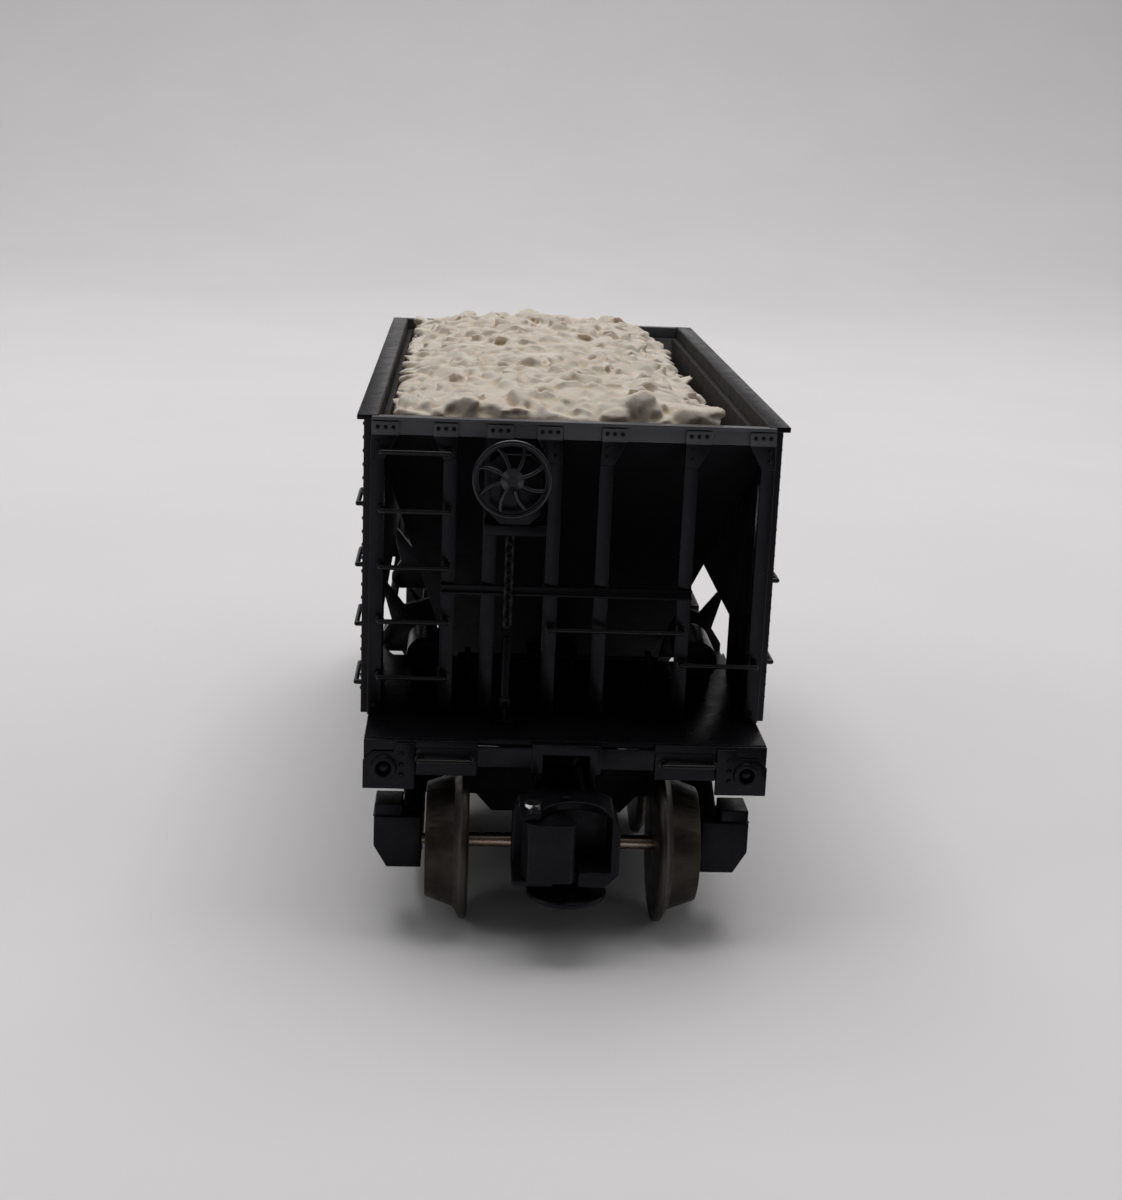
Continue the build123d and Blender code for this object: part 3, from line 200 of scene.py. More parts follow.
class Finish:
    """One procedural material. Patterns follow the object's own coordinates, in metres."""

    def __init__(self, name):
        """A new material of this name, with its shader and its coordinates."""
        self.material = bpy.data.materials.new(name)
        self.material.use_nodes = True
        self.tree = self.material.node_tree
        self.shader = self.tree.nodes["Principled BSDF"]
        self.place = self.tree.nodes.new("ShaderNodeTexCoord").outputs["Object"]

    def set(self, **values):
        """Constants on the shader, with _ for a space in the socket name."""
        for name, value in values.items():
            self.shader.inputs[name.replace("_", " ")].default_value = value

    def link(self, source, target):
        """Wire an output to an input."""
        self.tree.links.new(source, target)

    def noise(self, size, detail=4.0, stretch=(1, 1, 1)):
        """Noise with features of the given size, stretched along an axis by a factor below 1."""
        mapping = self.tree.nodes.new("ShaderNodeMapping")
        mapping.inputs["Scale"].default_value = stretch
        self.link(self.place, mapping.inputs["Vector"])
        node = self.tree.nodes.new("ShaderNodeTexNoise")
        node.inputs["Scale"].default_value = 1 / size
        node.inputs["Detail"].default_value = detail
        node.inputs["Roughness"].default_value = NOISE_ROUGHNESS
        self.link(mapping.outputs["Vector"], node.inputs["Vector"])
        return node.outputs["Fac"]

    def math(self, operation, a, b):
        """Two values, each a number or an output, put through the named operation."""
        node = self.tree.nodes.new("ShaderNodeMath")
        node.operation = operation
        for socket, value in zip(node.inputs, (a, b)):
            if isinstance(value, (int, float)):
                socket.default_value = value
            else:
                self.link(value, socket)
        return node.outputs["Value"]

    def span(self, source, low, high, to_low=0.0, to_high=1.0):
        """Source from low..high mapped onto to_low..to_high, clamped and smooth."""
        node = self.tree.nodes.new("ShaderNodeMapRange")
        node.interpolation_type = "SMOOTHSTEP"
        ends = {"From Min": low, "From Max": high, "To Min": to_low, "To Max": to_high}
        for socket, value in ends.items():
            node.inputs[socket].default_value = value
        self.link(source, node.inputs["Value"])
        return node.outputs["Result"]

    def patches(self, size, low=0.0, high=1.0, **pattern):
        """Noise in patches of the given size, spread over low..high."""
        return self.span(self.noise(size, **pattern), *NOISE_SPREAD, low, high)

    def mix(self, factor, a, b):
        """Colour a to colour b. Either may be an RGB triple or an output."""
        node = self.tree.nodes.new("ShaderNodeMix")
        node.data_type = "RGBA"
        for socket, value in ((MIX_A, a), (MIX_B, b)):
            if isinstance(value, tuple):
                node.inputs[socket].default_value = (*value, 1.0)
            else:
                self.link(value, node.inputs[socket])
        self.link(factor, node.inputs[MIX_FACTOR])
        return node.outputs[MIX_RESULT]

    def tinted(self, base, tint, mask, strength):
        """Base turned towards the tint by the mask, and at most by the strength."""
        return self.mix(self.math("MULTIPLY", mask, strength), base, tint)

    def axes(self, source=None):
        """X, Y and Z of a vector, or else of the place on the object."""
        node = self.tree.nodes.new("ShaderNodeSeparateXYZ")
        self.link(source or self.place, node.inputs["Vector"])
        return node.outputs

    def normal_up(self):
        """Share of the surface normal that points up."""
        geometry = self.tree.nodes.new("ShaderNodeNewGeometry")
        return self.axes(geometry.outputs["Normal"])["Z"]

    def colour(self, source):
        """Wire the base colour."""
        self.link(source, self.shader.inputs["Base Color"])

    def rough(self, source):
        """Wire the roughness."""
        self.link(source, self.shader.inputs["Roughness"])

    def bump(self, height, depth):
        """Height from 0 to 1 as relief of the given depth."""
        node = self.tree.nodes.new("ShaderNodeBump")
        node.inputs["Strength"].default_value = 1.0
        node.inputs["Distance"].default_value = depth
        self.link(height, node.inputs["Height"])
        self.link(node.outputs["Normal"], self.shader.inputs["Normal"])


def inner_faces(finish):
    """Mask of the faces inside the body, and mask of the dust that settles high on them."""
    place = finish.axes()
    outward = finish.math("ABSOLUTE", place["X"], 0.0)
    inside = finish.math("LESS_THAN", outward, INNER_X)
    not_under = finish.math("GREATER_THAN", finish.normal_up(), UNDERSIDE_TILT)
    high = finish.math("MULTIPLY", finish.span(place["Z"], *INNER_DUST_RISE), not_under)
    scuff = finish.noise(1.6 * MM, stretch=(1, 0.35, 1))
    worn = finish.span(scuff, 0.2, 0.75, 0.5, 1.0)
    dust = finish.math("MULTIPLY", finish.math("MULTIPLY", inside, high), worn)
    return inside, dust


def black_plastic(name, tints, inner_dust=0.0, painted_light_above=None, pale=None, gloss=0.2):
    """Satin black moulded plastic. Dust dulls it inside the body sides, and its top can be painted paler
    as painted light from above.
    """
    finish = Finish(name)
    base = finish.mix(finish.span(finish.noise(9 * MM), 0.35, 0.68), *tints)
    speck = finish.span(finish.noise(0.5 * MM, detail=2.0), 0.62, 0.75)
    level = finish.span(finish.normal_up(), 0.5, 1.0)
    base = finish.tinted(base, LEVEL_DUST, finish.math("MULTIPLY", speck, level), 0.25)
    rough = finish.patches(3 * MM, 0.26, 0.38)
    # Painted light: above this height the surface takes the pale tint, standing in for light from above.
    if painted_light_above:
        top = finish.span(finish.axes()["Z"], painted_light_above - PAINTED_LIGHT_BLUR, painted_light_above + PAINTED_LIGHT_BLUR)
        base = finish.mix(top, base, pale)
    if inner_dust:
        inside, dust = inner_faces(finish)
        base = finish.tinted(base, INNER_DUST, dust, inner_dust)
        rough = finish.math("ADD", rough, finish.math("MULTIPLY", inside, INNER_DULLING))
    finish.colour(base)
    finish.rough(rough)
    grain = finish.math("ADD", finish.noise(0.16 * MM, detail=2.0), finish.noise(1.4 * MM))
    finish.bump(grain, 0.006 * MM)
    finish.set(Specular_IOR_Level=gloss, Specular_Tint=BLUE_SHEEN)
    return finish.material


def cast_black():
    """Black paint over a die casting: a little coarser, with rubbed bare spots."""
    finish = Finish("painted_casting")
    base = finish.mix(finish.patches(4 * MM), *CASTING_TINTS)
    rub = finish.span(finish.noise(0.9 * MM, detail=6.0), 0.66, 0.74)
    finish.colour(finish.tinted(base, CASTING_RUB, rub, 0.5))
    finish.rough(finish.patches(1.2 * MM, 0.30, 0.46))
    grain = finish.math("ADD", finish.noise(0.35 * MM), finish.noise(2.2 * MM))
    finish.bump(grain, 0.02 * MM)
    finish.set(Specular_IOR_Level=0.17, Specular_Tint=BLUE_SHEEN)
    return finish.material


def blackened_wire():
    """Drawn wire with a black oxide that wears thin."""
    finish = Finish("blackened_wire")
    wear = finish.span(finish.noise(0.8 * MM, detail=6.0), 0.58, 0.8)
    finish.colour(finish.mix(wear, *WIRE_TINTS))
    finish.rough(finish.patches(0.5 * MM, 0.28, 0.42))
    finish.bump(finish.noise(0.12 * MM, detail=2.0), 0.005 * MM)
    finish.set(Metallic=0.35)
    return finish.material


def wheel_metal(name, centre_y, centre_z):
    """Oxidised turned metal, with lathe marks round the axle and a rubbed tread."""
    finish = Finish(name)
    place = finish.axes()
    along = finish.math("SUBTRACT", place["Y"], centre_y)
    above = finish.math("SUBTRACT", place["Z"], centre_z)
    squares = [finish.math("MULTIPLY", offset, offset) for offset in (along, above)]
    radius = finish.math("SQRT", finish.math("ADD", *squares), 0.0)
    across = finish.math("ABSOLUTE", place["X"], 0.0)
    turns = finish.math("MULTIPLY", finish.math("ADD", radius, across), 2 * math.pi / LATHE_PITCH)
    groove = finish.math("SINE", turns, 0.0)
    patch = finish.span(finish.noise(5 * MM, detail=6.0), 0.3, 0.72)
    base = finish.mix(patch, *WHEEL_TINTS)
    finish.colour(finish.tinted(base, TREAD_TINT, finish.span(radius, *TREAD_RUB), 0.55))
    finish.rough(finish.patches(1.5 * MM, 0.36, 0.5))
    marks = finish.math("ADD", finish.math("MULTIPLY", groove, 0.25), finish.noise(0.5 * MM))
    finish.bump(marks, 0.006 * MM)
    finish.set(Metallic=0.75, Specular_IOR_Level=0.5)
    return finish.material


def axle_steel():
    """Bare drawn steel that has warmed to a copper cast."""
    finish = Finish("axle_steel")
    finish.colour(finish.mix(finish.patches(3 * MM, stretch=(0.3, 1, 1)), *AXLE_TINTS))
    finish.rough(finish.patches(0.4 * MM, 0.2, 0.34, stretch=(4, 1, 1)))
    finish.bump(finish.noise(0.2 * MM, stretch=(5, 0.4, 0.4)), 0.004 * MM)
    finish.set(Metallic=1.0)
    return finish.material


def plated(name, tints, roughness):
    """Plated or bright metal with fine turning marks."""
    finish = Finish(name)
    finish.colour(finish.mix(finish.patches(0.7 * MM), *tints))
    finish.rough(finish.patches(0.3 * MM, roughness, roughness + 0.12))
    finish.bump(finish.noise(0.15 * MM, stretch=(1, 6, 1)), 0.004 * MM)
    finish.set(Metallic=1.0)
    return finish.material


def crushed_stone():
    """Cream stone, tan in the crevices, with a dusty fine grain."""
    finish = Finish("pale_stone")
    tint = finish.tree.nodes.new("ShaderNodeAttribute")
    tint.attribute_name = "hollow"
    patch = finish.span(finish.noise(5 * MM, detail=5.0), 0.35, 0.7)
    base = finish.mix(patch, *STONE_TINTS)
    warm = finish.span(finish.noise(2.2 * MM, detail=5.0), 0.6, 0.8)
    base = finish.tinted(base, STONE_WARM, warm, 0.35)
    finish.colour(finish.tinted(base, STONE_CREVICE, tint.outputs["Fac"], 0.85))
    finish.rough(finish.patches(0.6 * MM, 0.62, 0.85))
    grain = finish.math("ADD", finish.noise(0.35 * MM, detail=6.0), finish.noise(1.3 * MM, detail=5.0))
    finish.bump(grain, 0.07 * MM)
    finish.set(Specular_IOR_Level=0.35, Subsurface_Weight=0.12, Subsurface_Scale=1.2 * MM)
    return finish.material


def studio_paper():
    """Matt paper that falls into shade well in front of the car."""
    finish = Finish("paper")
    mottled = tuple(channel * PAPER_MOTTLE for channel in PAPER_COLOUR)
    shade = tuple(channel * PAPER_SHADE for channel in PAPER_COLOUR)
    lit = finish.mix(finish.patches(120 * MM), mottled, PAPER_COLOUR)
    finish.colour(finish.mix(finish.span(finish.axes()["Y"], *SHADE_REACH), shade, lit))
    finish.bump(finish.noise(0.8 * MM), 0.01 * MM)
    finish.set(Roughness=0.75, Specular_IOR_Level=0.25)
    return finish.material


def wheelset_finishes():
    """One wheel finish for each axle, since its lathe marks run round that axle."""
    made = {}
    for node in SLOT_OF:
        if node.startswith("wheels_"):
            low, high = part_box(node)
            centre = (low + high) / 2
            made[node] = wheel_metal(f"turned_{node}", centre.y, centre.z)
    return made


FINISHES = {
    "black_plastic": black_plastic("black_plastic", PLASTIC_TINTS),
    "diecast_black": cast_black(),
    "blackened_wire": blackened_wire(),
    "axle_steel": axle_steel(),
    "bright_rivet": plated("bright_rivet", RIVET_TINTS, 0.14),
    "screw_steel": plated("screw_steel", SCREW_TINTS, 0.3),
    "pale_stone": crushed_stone(),
}
CHORD_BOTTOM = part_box("end_chord_front")[0].z
DUSTY_SIDE = black_plastic("dusty_side", PLASTIC_TINTS, inner_dust=0.28)
DECK_FINISH = black_plastic("deck_plastic", DECK_TINTS, gloss=0.1)
# Chord face, and the posts above the chord's bottom, are painted paler as painted light from above.
CHORD_PAINTED_LIGHT_FINISH = black_plastic("chord_painted_light", CHORD_PAINTED_LIGHT_TINTS)
# Pocket floor: painted shade, darker than the plastic, inside the recess.
POCKET_PAINTED_SHADE_FINISH = black_plastic("pocket_floor_painted_shade", POCKET_PAINTED_SHADE_TINTS)
POST_PAINTED_LIGHT_FINISH = black_plastic("post_plastic_painted_light", PLASTIC_TINTS, painted_light_above=CHORD_BOTTOM, pale=CHORD_PAINTED_LIGHT_TINTS[1])
GLOSSY_FINISH = black_plastic("glossy_plastic", PLASTIC_TINTS, gloss=0.6)
SPECIAL_FINISH = {
    "side_sheet_left": DUSTY_SIDE,
    "side_sheet_right": DUSTY_SIDE,
    "hopper_funnel": DUSTY_SIDE,
    "end_chord_front": CHORD_PAINTED_LIGHT_FINISH,
    "end_chord_rear": CHORD_PAINTED_LIGHT_FINISH,
    "brake_wheel": GLOSSY_FINISH,
    "deck_front": DECK_FINISH,
    "deck_rear": DECK_FINISH,
    "end_posts_front": POST_PAINTED_LIGHT_FINISH,
    "end_posts_rear": POST_PAINTED_LIGHT_FINISH,
    **wheelset_finishes(),
}


def finish_of(node):
    """The finish of a CAD node."""
    return SPECIAL_FINISH.get(node) or FINISHES[SLOT_OF[node]]


# ---------------------------------------------------------------- pieces


def add_piece(name, mesh, body, material):
    """A new piece that rides on a CAD body."""
    piece = bpy.data.objects.new(name, mesh)
    bpy.context.scene.collection.objects.link(piece)
    mesh.materials.clear()
    mesh.materials.append(material)
    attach(piece, body)
    return piece


def body_of(node):
    """The CAD body that a node belongs to."""
    return frame["nodes"][node]["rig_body"]


def clean_copy(node):
    """The node's mesh with its seams closed and its flat faces whole."""
    mesh = frame["nodes"][node].data.copy()
    mesh.name = f"{node}_finish"
    made = bmesh.new()
    made.from_mesh(mesh)
    bmesh.ops.remove_doubles(made, verts=made.verts, dist=SEAM_GAP)
    bmesh.ops.dissolve_limit(made, angle_limit=FLAT_ANGLE, verts=made.verts, edges=made.edges)
    made.to_mesh(mesh)
    made.free()
    return mesh


def smooth_faces(mesh):
    """Smooth shading over the whole mesh."""
    mesh.polygons.foreach_set("use_smooth", [True] * len(mesh.polygons))


def standing_for(node, mesh):
    """A piece with this mesh in place of the node."""
    piece = add_piece(f"{node}_finish", mesh, body_of(node), finish_of(node))
    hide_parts(node)
    return piece


def soften(node, width):
    """Stand-in for a node with its sharp edges rounded."""
    mesh = clean_copy(node)
    smooth_faces(mesh)
    piece = standing_for(node, mesh)
    bevel = piece.modifiers.new("edges", "BEVEL")
    bevel.width = width
    bevel.segments = 2
    bevel.limit_method = "ANGLE"
    bevel.angle_limit = SHARP_ANGLE
    bevel.use_clamp_overlap = False
    bevel.harden_normals = True


def skin_over(piece, voxel, passes):
    """One smooth skin over everything in the piece, with its edges and inner corners run round."""
    remesh = piece.modifiers.new("skin", "REMESH")
    remesh.mode = "VOXEL"
    remesh.voxel_size = voxel
    remesh.use_smooth_shade = True
    smooth = piece.modifiers.new("flow", "SMOOTH")
    smooth.factor = 0.5
    smooth.iterations = passes


def melt(node, skin):
    """Stand-in for a node as a casting."""
    piece = standing_for(node, clean_copy(node))
    skin_over(piece, *skin)


def add_dome(made, centre, outward, radius, height):
    """Round rivet head at centre, standing towards outward."""
    axis = Vector(outward).normalized()
    across = axis.orthogonal().normalized()
    up = axis.cross(across)
    rings = []
    for ring in range(RIVET_RINGS):
        turn = ring / RIVET_RINGS * math.pi / 2
        reach, rise = radius * math.cos(turn), height * math.sin(turn)
        points = []
        for side in range(RIVET_SIDES):
            angle = 2 * math.pi * side / RIVET_SIDES
            offset = across * (reach * math.cos(angle)) + up * (reach * math.sin(angle))
            points.append(made.verts.new(Vector(centre) + offset + axis * rise))
        rings.append(points)
    top = made.verts.new(Vector(centre) + axis * height)
    for low, high in zip(rings, rings[1:]):
        for side in range(RIVET_SIDES):
            after = (side + 1) % RIVET_SIDES
            made.faces.new((low[side], low[after], high[after], high[side]))
    last = rings[-1]
    for side in range(RIVET_SIDES):
        made.faces.new((last[side], last[(side + 1) % RIVET_SIDES], top))
    made.faces.new(list(reversed(rings[0])))


def rivets(name, spots, material, radius=RIVET_RADIUS, height=RIVET_HEIGHT):
    """One piece with all these rivets, on the car body. Spots are (point, outward)."""
    made = bmesh.new()
    for point, outward in spots:
        seat = Vector(point) - Vector(outward).normalized() * RIVET_BURY
        add_dome(made, seat, outward, radius, height)
    mesh = bpy.data.meshes.new(name)
    made.to_mesh(mesh)
    made.free()
    smooth_faces(mesh)
    add_piece(name, mesh, "carbody", material)


def turned(point, end):
    """A point or direction at the front end, or the same one turned to the rear."""
    x, y, z = point
    return (x, y, z) if end == "front" else (-x, -y, z)


def both_ends(name, spots, material, **sizes):
    """Rivets at the front end and, turned half a turn, at the rear end."""
    for end in ("front", "rear"):
        moved = [(turned(point, end), turned(outward, end)) for point, outward in spots]
        rivets(f"{name}_{end}", moved, material, **sizes)


# ---------------------------------------------------------------- body details

PLASTIC = FINISHES["black_plastic"]
FRONT = (0, -1, 0)


def chord_rivets():
    """Three rivets on each chord plate, whose edges are read off the posts to the micrometre."""
    posts = frame["nodes"]["end_posts_front"]
    face_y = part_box("end_posts_front")[0].y
    plate_z = CHORD_BOTTOM + CHORD_RIVET_STEP
    edges = set()
    for vert in posts.data.vertices:
        if vert.co.z > plate_z and abs(vert.co.y - face_y) < SAME_PLANE:
            edges.add(round(vert.co.x, 6))
    edges = sorted(edges)
    spots = []
    for left, right in zip(edges[::2], edges[1::2]):
        for step in (-1, 0, 1):
            x = (left + right) / 2 + step * CHORD_RIVET_STEP
            spots.append(((x, face_y, plate_z), FRONT))
    both_ends("chord_rivets", spots, PLASTIC)


def post_rivets():
    """Rivets on the gussets and at the feet of the corner posts."""
    gusset_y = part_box("end_posts_front")[0].y
    post_y = gusset_y + GUSSET_THICK
    deck_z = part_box("deck_front")[1].z
    spots = []
    for x in POST_X:
        for drop in GUSSET_RIVET_DROP:
            spots.append(((x, gusset_y, CHORD_BOTTOM - drop), FRONT))
    for x in (POST_X[0], POST_X[-1]):
        spots.append(((x, post_y, deck_z + FOOT_RIVET_RISE), FRONT))
    both_ends("post_rivets", spots, PLASTIC)


def pocket_rivets():
    """Three rivets beside each poling pocket, and the domed floor of the pocket, painted near black as
    painted shade in the recess.
    """
    plate_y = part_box("poling_pockets")[0].y + POCKET_PLATE_DEPTH
    floor_y = plate_y + POCKET_FLOOR_DEPTH
    spots = [((side * x, plate_y, z), FRONT) for side in (-1, 1) for x, z in POCKET_RIVETS]
    both_ends("pocket_rivets", spots, PLASTIC, radius=POCKET_RIVET_RADIUS)
    pocket_x, pocket_z = POCKET_CENTRE
    floors = [((side * pocket_x, floor_y, pocket_z), FRONT) for side in (-1, 1)]
    dome_radius, dome_height = POCKET_DOME
    both_ends("pocket_floor_painted_shade", floors, POCKET_PAINTED_SHADE_FINISH, radius=dome_radius, height=dome_height)


def rib_rivets():
    """A row of rivets up every rib."""
    deck_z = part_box("deck_front")[1].z
    for side, name in ((-1, "left"), (1, "right")):
        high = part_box(f"side_sheet_{name}")[1]
        rim_z = high.z - RIB_INSET
        half = high.y - RIB_INSET
        spots = []
        for index in range(RIB_COUNT):
            y = -half + 2 * half * index / (RIB_COUNT - 1)
            foot = deck_z if abs(y) > high.y - LEG_LENGTH else SIDE_BOTTOM
            for step in range(int((rim_z - foot) / RIB_RIVET_PITCH)):
                spots.append(((side * RIB_FACE_X, y, rim_z - step * RIB_RIVET_PITCH), (side, 0, 0)))
        rivets(f"rib_rivets_{name}", spots, DUSTY_SIDE)


# ---------------------------------------------------------------- stone load

# Heap under the stones, as steps of (z, half width, half length) in millimetres
HEAP = [
    (66.0, 27.0, 63.0),
    (72.6, 26.0, 61.8),
    (75.6, 23.8, 60.4),
    (77.4, 19.0, 57.0),
    (78.6, 12.5, 50.0),
    (79.6, 5.0, 30.0),
]
HEAP_SHIFT = -2.3 * MM


def heap_height(x, y):
    """Height of the smooth heap at a place, from its steps."""
    height = HEAP[0][0] * MM
    for (z_low, x_low, y_low), (z_high, x_high, y_high) in zip(HEAP, HEAP[1:]):
        rise_x = (x_low * MM - abs(x - HEAP_SHIFT)) / ((x_low - x_high) * MM)
        rise_y = (y_low * MM - abs(y)) / ((y_low - y_high) * MM)
        rise = max(0.0, min(1.0, rise_x, rise_y))
        height += rise * (z_high - z_low) * MM
    return height


def add_chunk(made, centre, size, picker):
    """One crushed stone: the hull of points scattered over a squashed, tipped ball."""
    squash = Vector([picker.uniform(*reach) for reach in (STONE_ACROSS, STONE_ACROSS, STONE_UP)])
    tip = Euler((picker.gauss(0, STONE_TIP), picker.gauss(0, STONE_TIP), picker.uniform(0, math.tau)))
    points = []
    for _ in range(STONE_POINTS):
        direction = Vector([picker.gauss(0, 1) for _ in range(3)]).normalized()
        offset = Vector(a * b for a, b in zip(direction, squash)) * size * picker.uniform(*STONE_SHELL)
        offset.rotate(tip)
        points.append(made.verts.new(centre + offset))
    hull = bmesh.ops.convex_hull(made, input=points)
    inside = [g for g in hull["geom_interior"] if isinstance(g, bmesh.types.BMVert)]
    bmesh.ops.delete(made, geom=inside, context="VERTS")


def stone_spots(picker):
    """Places on the heap at least a spacing apart."""
    kept = []
    cells = {}
    reach_x, reach_y = STONE_REACH
    for _ in range(STONE_TRIES):
        x = HEAP_SHIFT + picker.uniform(-reach_x, reach_x)
        y = picker.uniform(-reach_y, reach_y)
        cell = (int(x // STONE_SPACING), int(y // STONE_SPACING))
        near = [cells.get((cell[0] + i, cell[1] + j), []) for i in (-1, 0, 1) for j in (-1, 0, 1)]
        if any(math.hypot(x - a, y - b) < STONE_SPACING for group in near for a, b in group):
            continue
        cells.setdefault(cell, []).append((x, y))
        if heap_height(x, y) > STONE_FLOOR:
            kept.append((x, y))
    return kept


def mound_mesh(made):
    """Closed base body under the stones, narrowing down into the hopper."""
    columns, rows = MOUND_GRID
    half_x, half_y = MOUND_SIZE
    taper_x, taper_y = MOUND_TAPER
    foot_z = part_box("stone_load")[0].z + MOUND_FOOT_RISE
    top, foot = [], []
    for row in range(rows + 1):
        y = half_y * (2 * row / rows - 1)
        xs = [HEAP_SHIFT + half_x * (2 * column / columns - 1) for column in range(columns + 1)]
        top.append([made.verts.new((x, y, heap_height(x, y) - MOUND_SINK)) for x in xs])
        foot.append([made.verts.new((x * taper_x, y * taper_y, foot_z)) for x in xs])
    for layer, flip in ((top, False), (foot, True)):
        for near, far in zip(layer, layer[1:]):
            for column in range(columns):
                ring = [near[column], near[column + 1], far[column + 1], far[column]]
                made.faces.new(list(reversed(ring)) if flip else ring)
    border = [(0, c) for c in range(columns)] + [(r, columns) for r in range(rows)]
    border += [(rows, c) for c in range(columns, 0, -1)] + [(r, 0) for r in range(rows, 0, -1)]
    for (r1, c1), (r2, c2) in zip(border, border[1:] + border[:1]):
        made.faces.new((top[r1][c1], foot[r1][c1], foot[r2][c2], top[r2][c2]))


def mark_hollows(mesh):
    """Attribute that is 1 in the crevices between stones and 0 on their faces."""
    made = bmesh.new()
    made.from_mesh(mesh)
    hollow = {}
    for vert in made.verts:
        around = [edge.other_vert(vert).co for edge in vert.link_edges]
        middle = sum(around, Vector()) / len(around)
        hollow[vert.index] = (middle - vert.co).dot(vert.normal) / STONE_SKIN[0]
    for _ in range(HOLLOW_SPREADS):
        spread = {}
        for vert in made.verts:
            around = [hollow[edge.other_vert(vert).index] for edge in vert.link_edges]
            spread[vert.index] = (hollow[vert.index] + sum(around)) / (1 + len(around))
        hollow = spread
    values = [max(0.0, min(1.0, hollow[index] * HOLLOW_GAIN)) for index in range(len(mesh.vertices))]
    made.free()
    attribute = mesh.attributes.new("hollow", "FLOAT", "POINT")
    attribute.data.foreach_set("value", values)


def stone_heap():
    """Cream stone insert: crushed stones run together into one cast surface."""
    picker = random.Random(SEED)
    made = bmesh.new()
    mound_mesh(made)
    reach_x, reach_y = STONE_REACH
    for x, y in stone_spots(picker):
        large = abs(y) > END_ROW and picker.random() < END_STONE_SHARE
        size = picker.uniform(*(END_STONE_SIZE if large else STONE_SIZE))
        sink = picker.uniform(*(END_STONE_SINK if large else STONE_SINK))
        free_x, free_y = reach_x - size, reach_y - size
        x = HEAP_SHIFT + max(-free_x, min(free_x, x - HEAP_SHIFT))
        y = max(-free_y, min(free_y, y))
        add_chunk(made, Vector((x, y, heap_height(x, y) + sink * size)), size, picker)
    add_chunk(made, Vector(PEAK), PEAK_SIZE, picker)
    mesh = bpy.data.meshes.new("stone_heap")
    made.to_mesh(mesh)
    made.free()
    heap = bpy.data.objects.new("stone_heap", mesh)
    bpy.context.scene.collection.objects.link(heap)
    skin_over(heap, *STONE_SKIN)
    evaluated = heap.evaluated_get(bpy.context.evaluated_depsgraph_get())
    cast = bpy.data.meshes.new_from_object(evaluated)
    cast.name = "stone_heap_cast"
    bpy.data.objects.remove(heap)
    mark_hollows(cast)
    smooth_faces(cast)
    piece = add_piece("stone_heap", cast, "load", FINISHES["pale_stone"])
    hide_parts("stone_load")


# ---------------------------------------------------------------- assembly

MOULDED = ["side_sheet_left", "side_sheet_right", "hopper_funnel", "body_bolsters", "poling_pockets"]
MOULDED += ["brake_housing", "brake_shelf", "brake_cross_shaft", "brake_rod"]
MOULDED += ["hopper_door_front", "hopper_door_rear"]
MOULDED_AT_ENDS = ["end_chord", "end_posts", "end_bar", "deck", "side_sills", "centre_sill", "end_sill"]
CAST_AT_ENDS = ["side_frames", "truck_bolster"]


def dress_nodes():
    """Round the edges of the moulded and cast parts, and paint the rest."""
    for node in MOULDED:
        soften(node, MOULDED_EDGE)
    for end in ("front", "rear"):
        for node in MOULDED_AT_ENDS:
            soften(f"{node}_{end}", MOULDED_EDGE)
        for node in CAST_AT_ENDS:
            soften(f"{node}_{end}", CAST_EDGE)
        melt(f"coupler_head_{end}", HEAD_SKIN)
        melt(f"knuckle_{end}", KNUCKLE_SKIN)
        soften(f"uncoupling_tack_{end}", CAST_EDGE)
        for place in ("outer", "inner"):
            soften(f"wheels_{place}_{end}", WHEEL_EDGE)
    for node, shown in frame["nodes"].items():
        if not shown.hide_render:
            shown.data.materials.clear()
            shown.data.materials.append(finish_of(node))


# ---------------------------------------------------------------- studio

# Paper sweep, in metres: the rows of the flat floor (Y), and the bend and top of the backdrop
FLOOR_ROWS = (-2.2, -0.4, 0.2, 0.85)
BEND_RADIUS = 0.9
BEND_STEPS = 20
BACKDROP_TOP = 2.6
SWEEP_HALF_WIDTH = 2.6

# The room is brightest in this direction. The ramp gives the share of the way and the strength.
ROOM_COLOUR = (0.93, 0.93, 0.95, 1)
ROOM_BRIGHT_WAY = (0.0, 0.6, 0.8)
ROOM_RAMP = (-0.3, 0.8, 0.05, 0.29)

# Camera fitted to the edges of the car in the photo: metres, degrees and lens millimetres
CAMERA_PLACE = (-0.016432, -0.332723, 0.120104)
CAMERA_TURN = (75.1067, -2.2719, -2.6798)
FOCAL_LENGTH = 54.864
SENSOR_WIDTH = 36.0


def sweep():
    """Pale floor that curves up into a backdrop behind the car."""
    bend_start = FLOOR_ROWS[-1]
    profile = [(y, 0.0) for y in FLOOR_ROWS]
    for step in range(1, BEND_STEPS + 1):
        angle = math.pi / 2 * step / BEND_STEPS
        profile.append((bend_start + BEND_RADIUS * math.sin(angle), BEND_RADIUS * (1 - math.cos(angle))))
    profile.append((bend_start + BEND_RADIUS, BACKDROP_TOP))
    made = bmesh.new()
    left = [made.verts.new((-SWEEP_HALF_WIDTH, y, z)) for y, z in profile]
    right = [made.verts.new((SWEEP_HALF_WIDTH, y, z)) for y, z in profile]
    for index in range(len(profile) - 1):
        made.faces.new((left[index], right[index], right[index + 1], left[index + 1]))
    mesh = bpy.data.meshes.new("paper_sweep")
    made.to_mesh(mesh)
    made.free()
    smooth_faces(mesh)
    mesh.materials.append(studio_paper())
    floor = bpy.data.objects.new("paper_sweep", mesh)
    bpy.context.scene.collection.objects.link(floor)


def softbox(name, place, aim, size, power, colour):
    """Soft rectangular lamp, of the given width and height, turned towards its aim."""
    light = bpy.data.lights.new(name, "AREA")
    light.shape = "RECTANGLE"
    light.size, light.size_y = size
    light.energy = power
    light.color = colour
    box = bpy.data.objects.new(name, light)
    bpy.context.scene.collection.objects.link(box)
    box.location = place
    box.rotation_euler = (Vector(aim) - Vector(place)).to_track_quat("-Z", "Y").to_euler()


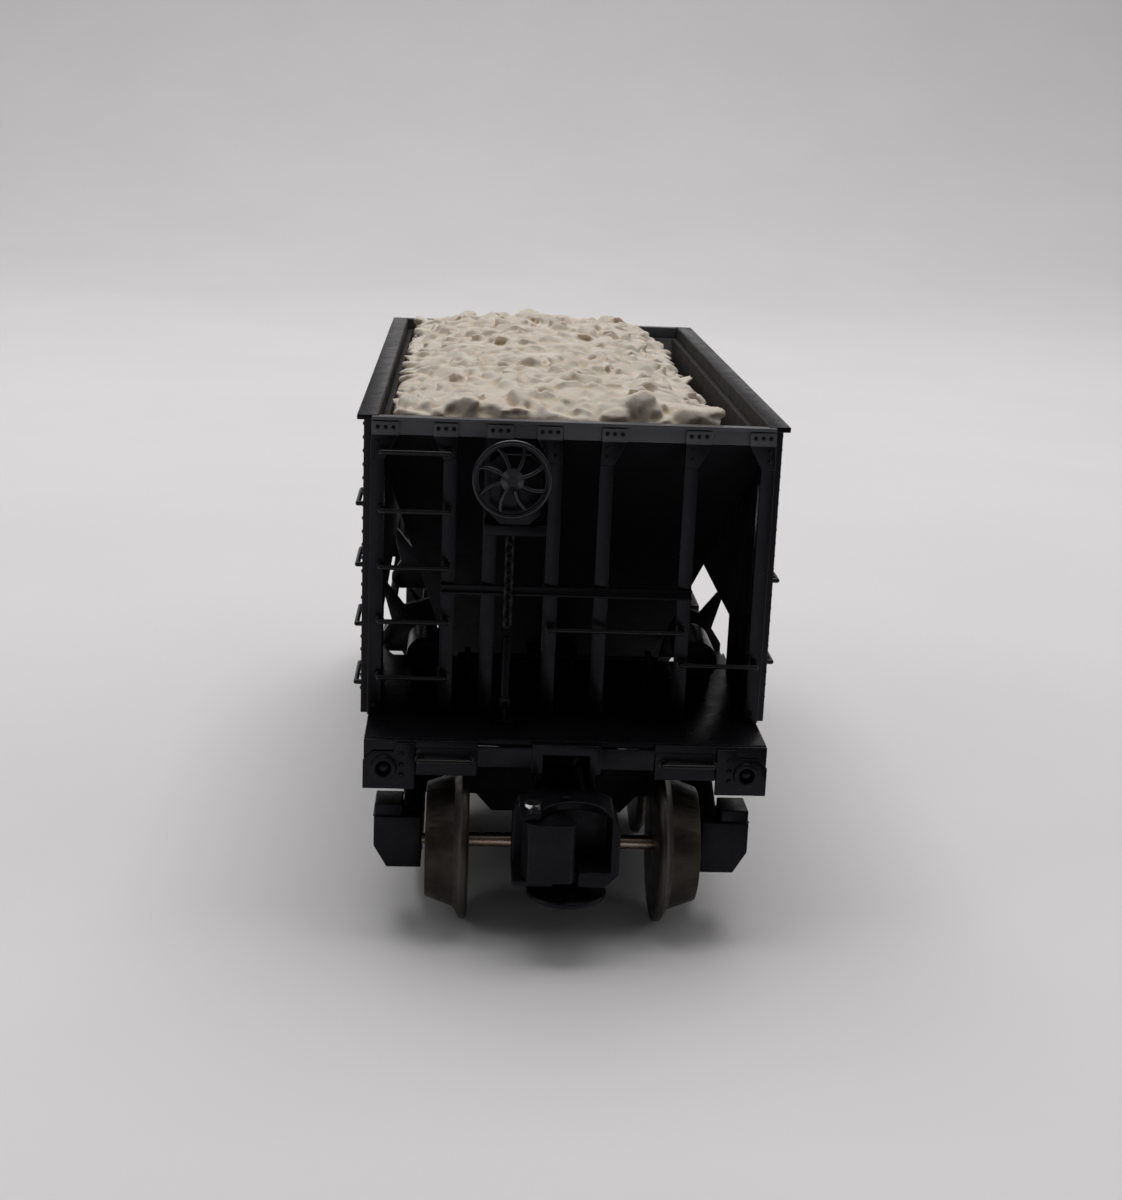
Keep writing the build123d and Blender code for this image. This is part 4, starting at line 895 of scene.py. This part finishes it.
def room():
    """Grey room, bright above and behind the car and dim on the side it is seen from."""
    world = bpy.data.worlds.new("room")
    world.use_nodes = True
    tree = world.node_tree
    background = tree.nodes["Background"]
    background.inputs["Color"].default_value = ROOM_COLOUR
    facing = tree.nodes.new("ShaderNodeVectorMath")
    facing.operation = "DOT_PRODUCT"
    facing.inputs[1].default_value = ROOM_BRIGHT_WAY
    tree.links.new(tree.nodes.new("ShaderNodeTexCoord").outputs["Generated"], facing.inputs[0])
    ramp = tree.nodes.new("ShaderNodeMapRange")
    ramp.interpolation_type = "SMOOTHSTEP"
    for name, value in zip(("From Min", "From Max", "To Min", "To Max"), ROOM_RAMP):
        ramp.inputs[name].default_value = value
    tree.links.new(facing.outputs["Value"], ramp.inputs["Value"])
    tree.links.new(ramp.outputs["Result"], background.inputs["Strength"])
    bpy.context.scene.world = world


def studio():
    """Large soft light overhead and behind, with pale fill all round."""
    sweep()
    room()
    softbox(
        "overhead",
        place=(0.0, 0.50, 1.35),
        aim=(0, 0.1, 0),
        size=(1.3, 1.1),
        power=15.6,
        colour=(1.0, 0.995, 1.0),
    )
    softbox(
        "left_fill",
        place=(-1.1, -0.2, 0.7),
        aim=(0, 0, 0.04),
        size=(0.7, 0.7),
        power=1.2,
        colour=(1.0, 0.99, 1.0),
    )
    softbox(
        "right_fill",
        place=(1.1, -0.1, 0.6),
        aim=(0, 0, 0.04),
        size=(0.7, 0.7),
        power=0.9,
        colour=(1.0, 0.98, 0.97),
    )
    bpy.context.scene.view_settings.view_transform = "Standard"


def camera():
    """Hand-held view of the brake end from just above the rim."""
    lens = bpy.data.cameras.new("camera")
    lens.lens = FOCAL_LENGTH
    lens.sensor_width = SENSOR_WIDTH
    lens.clip_start = 0.01
    view = bpy.data.objects.new("camera", lens)
    bpy.context.scene.collection.objects.link(view)
    view.location = CAMERA_PLACE
    view.rotation_euler = [math.radians(turn) for turn in CAMERA_TURN]
    bpy.context.scene.camera = view


dress_nodes()
chord_rivets()
post_rivets()
pocket_rivets()
rib_rivets()
stone_heap()
studio()
camera()
